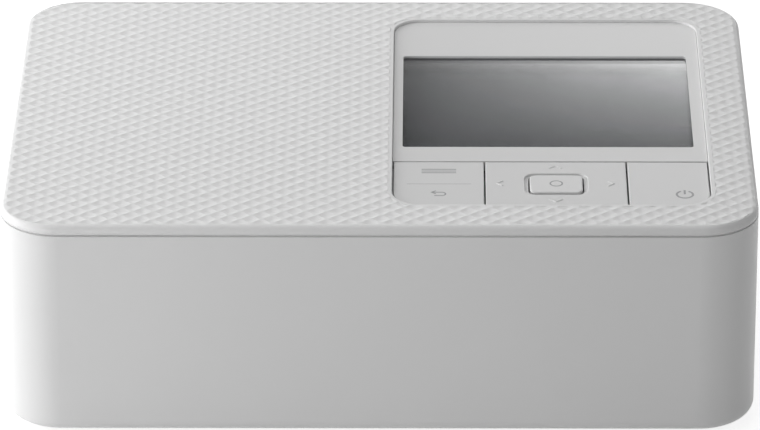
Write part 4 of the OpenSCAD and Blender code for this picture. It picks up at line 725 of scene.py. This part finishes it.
# A low ridge carried along a path in plan: at each point the same four-sided profile, wide below and narrower
# above, stands square to the path's direction. Gives its points and faces, numbered from start.
def ridge(path, width, low, high, slope, closed, start):
    ahead = np.roll(path, -1, axis=0) - path
    behind = path - np.roll(path, 1, axis=0)
    if not closed:
        ahead[-1], behind[0] = behind[-1], ahead[0]
    unitA = ahead / np.linalg.norm(ahead, axis=1, keepdims=True)
    unitB = behind / np.linalg.norm(behind, axis=1, keepdims=True)
    along = unitA + unitB
    along /= np.linalg.norm(along, axis=1, keepdims=True)
    miter = 1 / np.maximum((along * unitA).sum(axis=1, keepdims=True), 0.5)  # at most twice as wide
    side = np.stack([-along[:, 1], along[:, 0]], axis=1) * miter
    reach = np.array([-width / 2, width / 2, width / 2 - slope, -width / 2 + slope])
    levels = np.broadcast_to(np.array([low, low, high, high])[None, :, None], (len(path), 4, 1))
    plan = path[:, None, :] + side[:, None, :] * reach[None, :, None]
    points = np.concatenate([plan, levels], axis=2).reshape(-1, 3)
    count = len(path)
    rows = np.arange(count if closed else count - 1)
    faces = []
    for k in range(4):
        here, there = rows * 4 + k, rows * 4 + (k + 1) % 4
        nextHere, nextThere = ((rows + 1) % count) * 4 + k, ((rows + 1) % count) * 4 + (k + 1) % 4
        faces.append(np.stack([here, nextHere, nextThere, there], axis=1))
    faces = np.concatenate(faces)
    if not closed:
        last = (count - 1) * 4
        faces = np.concatenate([faces, [[0, 1, 2, 3]], [[last + 3, last + 2, last + 1, last]]])
    return points, faces + start


# Circle arc through angles first to last, degrees, about a centre.
def arc(centre, radius, first, last, count):
    t = np.radians(np.linspace(first, last, count))
    return np.stack([centre[0] + radius * np.cos(t), centre[1] + radius * np.sin(t)], axis=1)


# Straight legs through the points, which are counted from a place, each with the same number of even steps.
def legs(place, points, count):
    ends = np.asarray(points, float) + place
    made = [np.linspace(first, last, count) for first, last in zip(ends, ends[1:])]
    return np.concatenate([leg[:-1] for leg in made[:-1]] + made[-1:])


# Joins ridges into one piece and puts it on a body.
def makeMark(name, body, material, parts):
    points, faces, total = [], [], 0
    for part in parts:
        p, f = ridge(*part, total)
        points.append(p)
        faces.append(f)
        total += len(p)
    mark = putMesh(name, np.concatenate(points), np.concatenate(faces), material, smooth=False)
    bm = bmesh.new()
    bm.from_mesh(mark.data)
    bmesh.ops.recalc_face_normals(bm, faces=bm.faces)
    bm.to_mesh(mark.data)
    bm.free()
    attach(mark, body)


marks = {  # mm; each point is counted from its sign's place
    "top": 56.8,           # face of the keys
    "foot": 0.03,          # how deep each sign reaches into its key
    "print": 0.02,         # ink standing on the key
    "printSlope": 0.02,
    "power": {
        "at": (73.6, -46.7), "radius": 1.95, "stroke": 0.56, "bar": ((0, 0.15), (0, 2.379)),
        "opening": (118, 422), "ringPoints": 40, "barPoints": 2,  # degrees from end to end of the ring
    },
    "back": {
        "at": (14.3, -46.4), "stroke": 0.4, "bend": 0.9, "bendPoints": 14,
        "shaft": ((-1.6, 0.75), (0.7, 0.75)), "shaftPoints": 6,
        "tail": ((0.6, -1.05), (-1.1, -1.05)), "tailPoints": 5,
        "head": ((-0.75, 1.6), (-1.75, 0.75), (-0.75, -0.1)), "headPoints": 3,
    },
    "menu": {"at": (14.3, -33.8), "width": 8.4, "stroke": 0.42, "rows": (0.95, 0.0, -0.95), "points": 8},
    "divider": {"at": (14.3, -41.0), "width": 15.6, "stroke": 0.16, "rows": (0.0,), "points": 12},
    "ok": {"at": (42.7, -40.87), "radius": 1.45, "stroke": 0.4, "ringPoints": 36, "lastAngle": 350},
    "arrows": {  # place, direction and half the spread
        "up": ((42.6, -31.7), (0, 1), 1.55),
        "down": ((42.5, -50.1), (0, -1), 1.55),
        "left": ((29.2, -40.6), (-1, 0), 1.35),
        "right": ((55.8, -40.8), (1, 0), 1.35),
    },
    "arrow": {"tip": 0.75, "tail": -0.55, "stroke": 0.7, "height": 0.15, "slope": 0.3, "points": 5},
}


# Printed signs are strokes with nearly upright sides. The arrows are moulded: their tip lies ahead of their
# place, and the ends of both arms behind it, to the left and the right of the direction.
def makeMarks(m):
    # A printed stroke of one sign along a path, standing on a face.
    def printed(path, sign, face=m["top"], closed=False):
        return path, sign["stroke"], face - m["foot"], face + m["print"], m["printSlope"], closed

    # Level lines of one sign, one for each of its rows.
    def levelLines(sign):
        half = sign["width"] / 2
        rows = [((-half, row), (half, row)) for row in sign["rows"]]
        return [printed(legs(sign["at"], row, sign["points"]), sign) for row in rows]

    ink = materials["printedMarks"]
    power, back, ok, arrow = m["power"], m["back"], m["ok"], m["arrow"]
    ring = arc(power["at"], power["radius"], *power["opening"], power["ringPoints"])
    bar = legs(power["at"], power["bar"], power["barPoints"])
    makeMark("power_symbol", "power_key", ink, [printed(ring, power), printed(bar, power)])

    bendMiddle = np.asarray(back["at"]) + back["shaft"][1] - (0, back["bend"])
    hook = np.concatenate([
        legs(back["at"], back["shaft"], back["shaftPoints"])[:-1],
        arc(bendMiddle, back["bend"], 90, -90, back["bendPoints"]),
        legs(back["at"], back["tail"], back["tailPoints"]),
    ])
    head = legs(back["at"], back["head"], back["headPoints"])
    makeMark("back_symbol", "menu_key", ink, [printed(hook, back), printed(head, back)])
    makeMark("menu_symbol", "menu_key", ink, levelLines(m["menu"]))
    makeMark("key_divider", "menu_key", ink, levelLines(m["divider"]))

    parts = []
    for place, way, spread in m["arrows"].values():
        way = np.array(way)
        side = np.array([-way[1], way[0]]) * spread
        tip, tail = way * arrow["tip"], way * arrow["tail"]
        path = legs(place, (tail + side, tip, tail - side), arrow["points"])
        low, high = m["top"] - m["foot"], m["top"] + arrow["height"]
        parts.append((path, arrow["stroke"], low, high, arrow["slope"], False))
    makeMark("arrow_symbols", "arrow_key", materials["keys"], parts)
    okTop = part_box("ok_key")[1][2] / mm
    ring = arc(ok["at"], ok["radius"], 0, ok["lastAngle"], ok["ringPoints"])
    makeMark("ok_symbol", "ok_key", ink, [printed(ring, ok, okTop, True)])


makeMarks(marks)
print("marks made")

studio = {
    "background": 1.0,        # what the camera sees behind the printer
    "ambient": 0.12,          # soft light from all round
    "floorColour": 0.82,      # for light that bounces
    "floorSeen": 0.6,         # share of the lamps' light that the camera sees on the table
    "floorGlow": 0.8,         # white that it always sees there
    "floorReach": 4000,       # mm each way
    "floorDrop": 0.02,        # mm below the feet
    "card": {"x": (-420, 520), "z": (240, 620), "y": 620},  # mm, glowing card behind the printer
    "cardLeft": -0.018,       # m, where the card starts to glow
    "cardRight": 0.12,        # m, where it is brightest
    "cardPeak": 6.6,
    "cardBand": (             # m above the table, and share of the glow there
        (0.305, 0.25), (0.320, 0.93), (0.330, 0.27), (0.342, 0.16), (0.358, 0.04), (0.385, 0.02)),
}
lampAim = (0, 0, 0.03)  # m, the middle of the printer
softboxes = {  # place and size in metres, power in watts
    "leftFar": {"at": (-0.80, -0.10, 0.35), "size": (0.50, 0.50), "power": 1.85},
    "leftFarLow": {"at": (-0.90, -0.05, 0.20), "size": (0.40, 0.25), "power": 2.10},
    "leftRear": {"at": (-0.50, 0.30, 0.33), "size": (0.40, 0.40), "power": 1.45},
    "frontLeft": {"at": (-0.30, -0.45, 0.12), "size": (0.25, 0.20), "power": 0.61},
    "above": {"at": (-0.05, 0.00, 0.70), "size": (0.60, 0.50), "power": 0.98},
    "aboveRear": {"at": (-0.10, 0.45, 0.50), "size": (0.60, 0.30), "power": 0.742},
    "rearLow": {"at": (-0.20, 0.70, 0.25), "size": (0.60, 0.20), "power": 0.388},
    "right": {"at": (0.70, -0.20, 0.20), "size": (0.40, 0.30), "power": 0.338},
}


# A flat lamp that faces the aim.
def addLamp(name, values):
    data = bpy.data.lights.new(name, "AREA")
    data.shape = "RECTANGLE"
    data.size, data.size_y = values["size"]
    data.energy = values["power"]
    lamp = bpy.data.objects.new(name, data)
    scene.collection.objects.link(lamp)
    facing = (Vector(lampAim) - Vector(values["at"])).to_track_quat("-Z", "Y")
    lamp.matrix_world = Matrix.Translation(values["at"]) @ facing.to_matrix().to_4x4()
    lamp.visible_camera = False


for lampName, values in softboxes.items():
    addLamp(lampName, values)


# One for the rays of the camera, of mirrors and through glass, and nought for the rest.
def seenRays(tree):
    path = addNode(tree, "ShaderNodeLightPath").outputs
    mirrored = combine(tree, "MAXIMUM", path["Is Camera Ray"], path["Is Glossy Ray"])
    return combine(tree, "MAXIMUM", mirrored, path["Is Transmission Ray"])


# The world is white to camera, mirror and glass rays, and a level grey light to the rest.
def makeWorld(s):
    world = bpy.data.worlds.new("studioRoom")
    scene.world = world
    world.use_nodes = True
    tree = world.node_tree
    ground = tree.nodes["Background"]
    ground.inputs["Color"].default_value = (*grey(s["background"]), 1)
    tree.links.new(mapTo(tree, seenRays(tree), 0, 1, s["ambient"], 1.0), ground.inputs["Strength"])


makeWorld(studio)


# The table: a diffuse white that takes shadows, with a glow that only the camera, mirrors and glass see.
def makeTable(s):
    material, tree, output = emptyMaterial("tableTop")
    matt = addNode(tree, "ShaderNodeBsdfDiffuse")
    glow = addNode(tree, "ShaderNodeEmission")
    seen = seenRays(tree)
    shade = mapTo(tree, seen, 0, 1, s["floorColour"], s["floorSeen"])
    colour = addNode(tree, "ShaderNodeCombineColor")
    for channel in ("Red", "Green", "Blue"):
        tree.links.new(shade, colour.inputs[channel])
    tree.links.new(colour.outputs["Color"], matt.inputs["Color"])
    tree.links.new(mapTo(tree, seen, 0, 1, 0.0, s["floorGlow"]), glow.inputs["Strength"])
    both = addNode(tree, "ShaderNodeAddShader")
    tree.links.new(matt.outputs["BSDF"], both.inputs[0])
    tree.links.new(glow.outputs["Emission"], both.inputs[1])
    tree.links.new(both.outputs["Shader"], output.inputs["Surface"])
    far, low = s["floorReach"], cadBox[0][2] / mm - s["floorDrop"]
    corners = [(-far, -far, low), (far, -far, low), (far, far, low), (-far, far, low)]
    table = putMesh("tableTop", corners, [(0, 1, 2, 3)], material, smooth=False)


makeTable(studio)


# A glowing card behind the printer that its window and panel mirror: its glow rises in a straight line to the
# right, times a band over the height that is given by a few points.
def makeCard(s):
    material, tree, output = emptyMaterial("lightCard")
    glow = addNode(tree, "ShaderNodeEmission")
    where = addNode(tree, "ShaderNodeTexCoord")
    parts = addNode(tree, "ShaderNodeSeparateXYZ")
    tree.links.new(where.outputs["Object"], parts.inputs["Vector"])
    across = mapTo(tree, parts.outputs["X"], s["cardLeft"], s["cardRight"], 0.0, s["cardPeak"])
    band = s["cardBand"]
    bottom, top = band[0][0], band[-1][0]
    profile = addNode(tree, "ShaderNodeValToRGB")
    stops = profile.color_ramp.elements
    stops[0].color, stops[1].color = (*grey(band[0][1]), 1), (*grey(band[-1][1]), 1)
    for height, share in band[1:-1]:
        stops.new((height - bottom) / (top - bottom)).color = (*grey(share), 1)
    tree.links.new(mapTo(tree, parts.outputs["Z"], bottom, top, 0.0, 1.0), profile.inputs["Fac"])
    shine = combine(tree, "MULTIPLY", across, profile.outputs["Color"])
    tree.links.new(shine, glow.inputs["Strength"])
    tree.links.new(glow.outputs["Emission"], output.inputs["Surface"])
    (left, right), (low, high), y = s["card"]["x"], s["card"]["z"], s["card"]["y"]
    corners = [(left, y, low), (right, y, low), (right, y, high), (left, y, high)]
    card = putMesh("lightCard", corners, [(0, 1, 2, 3)], material, smooth=False)
    card.visible_camera = False
    card.visible_shadow = False
    card.visible_diffuse = False


makeCard(studio)
scene.view_settings.view_transform = "Standard"
print("studio set")
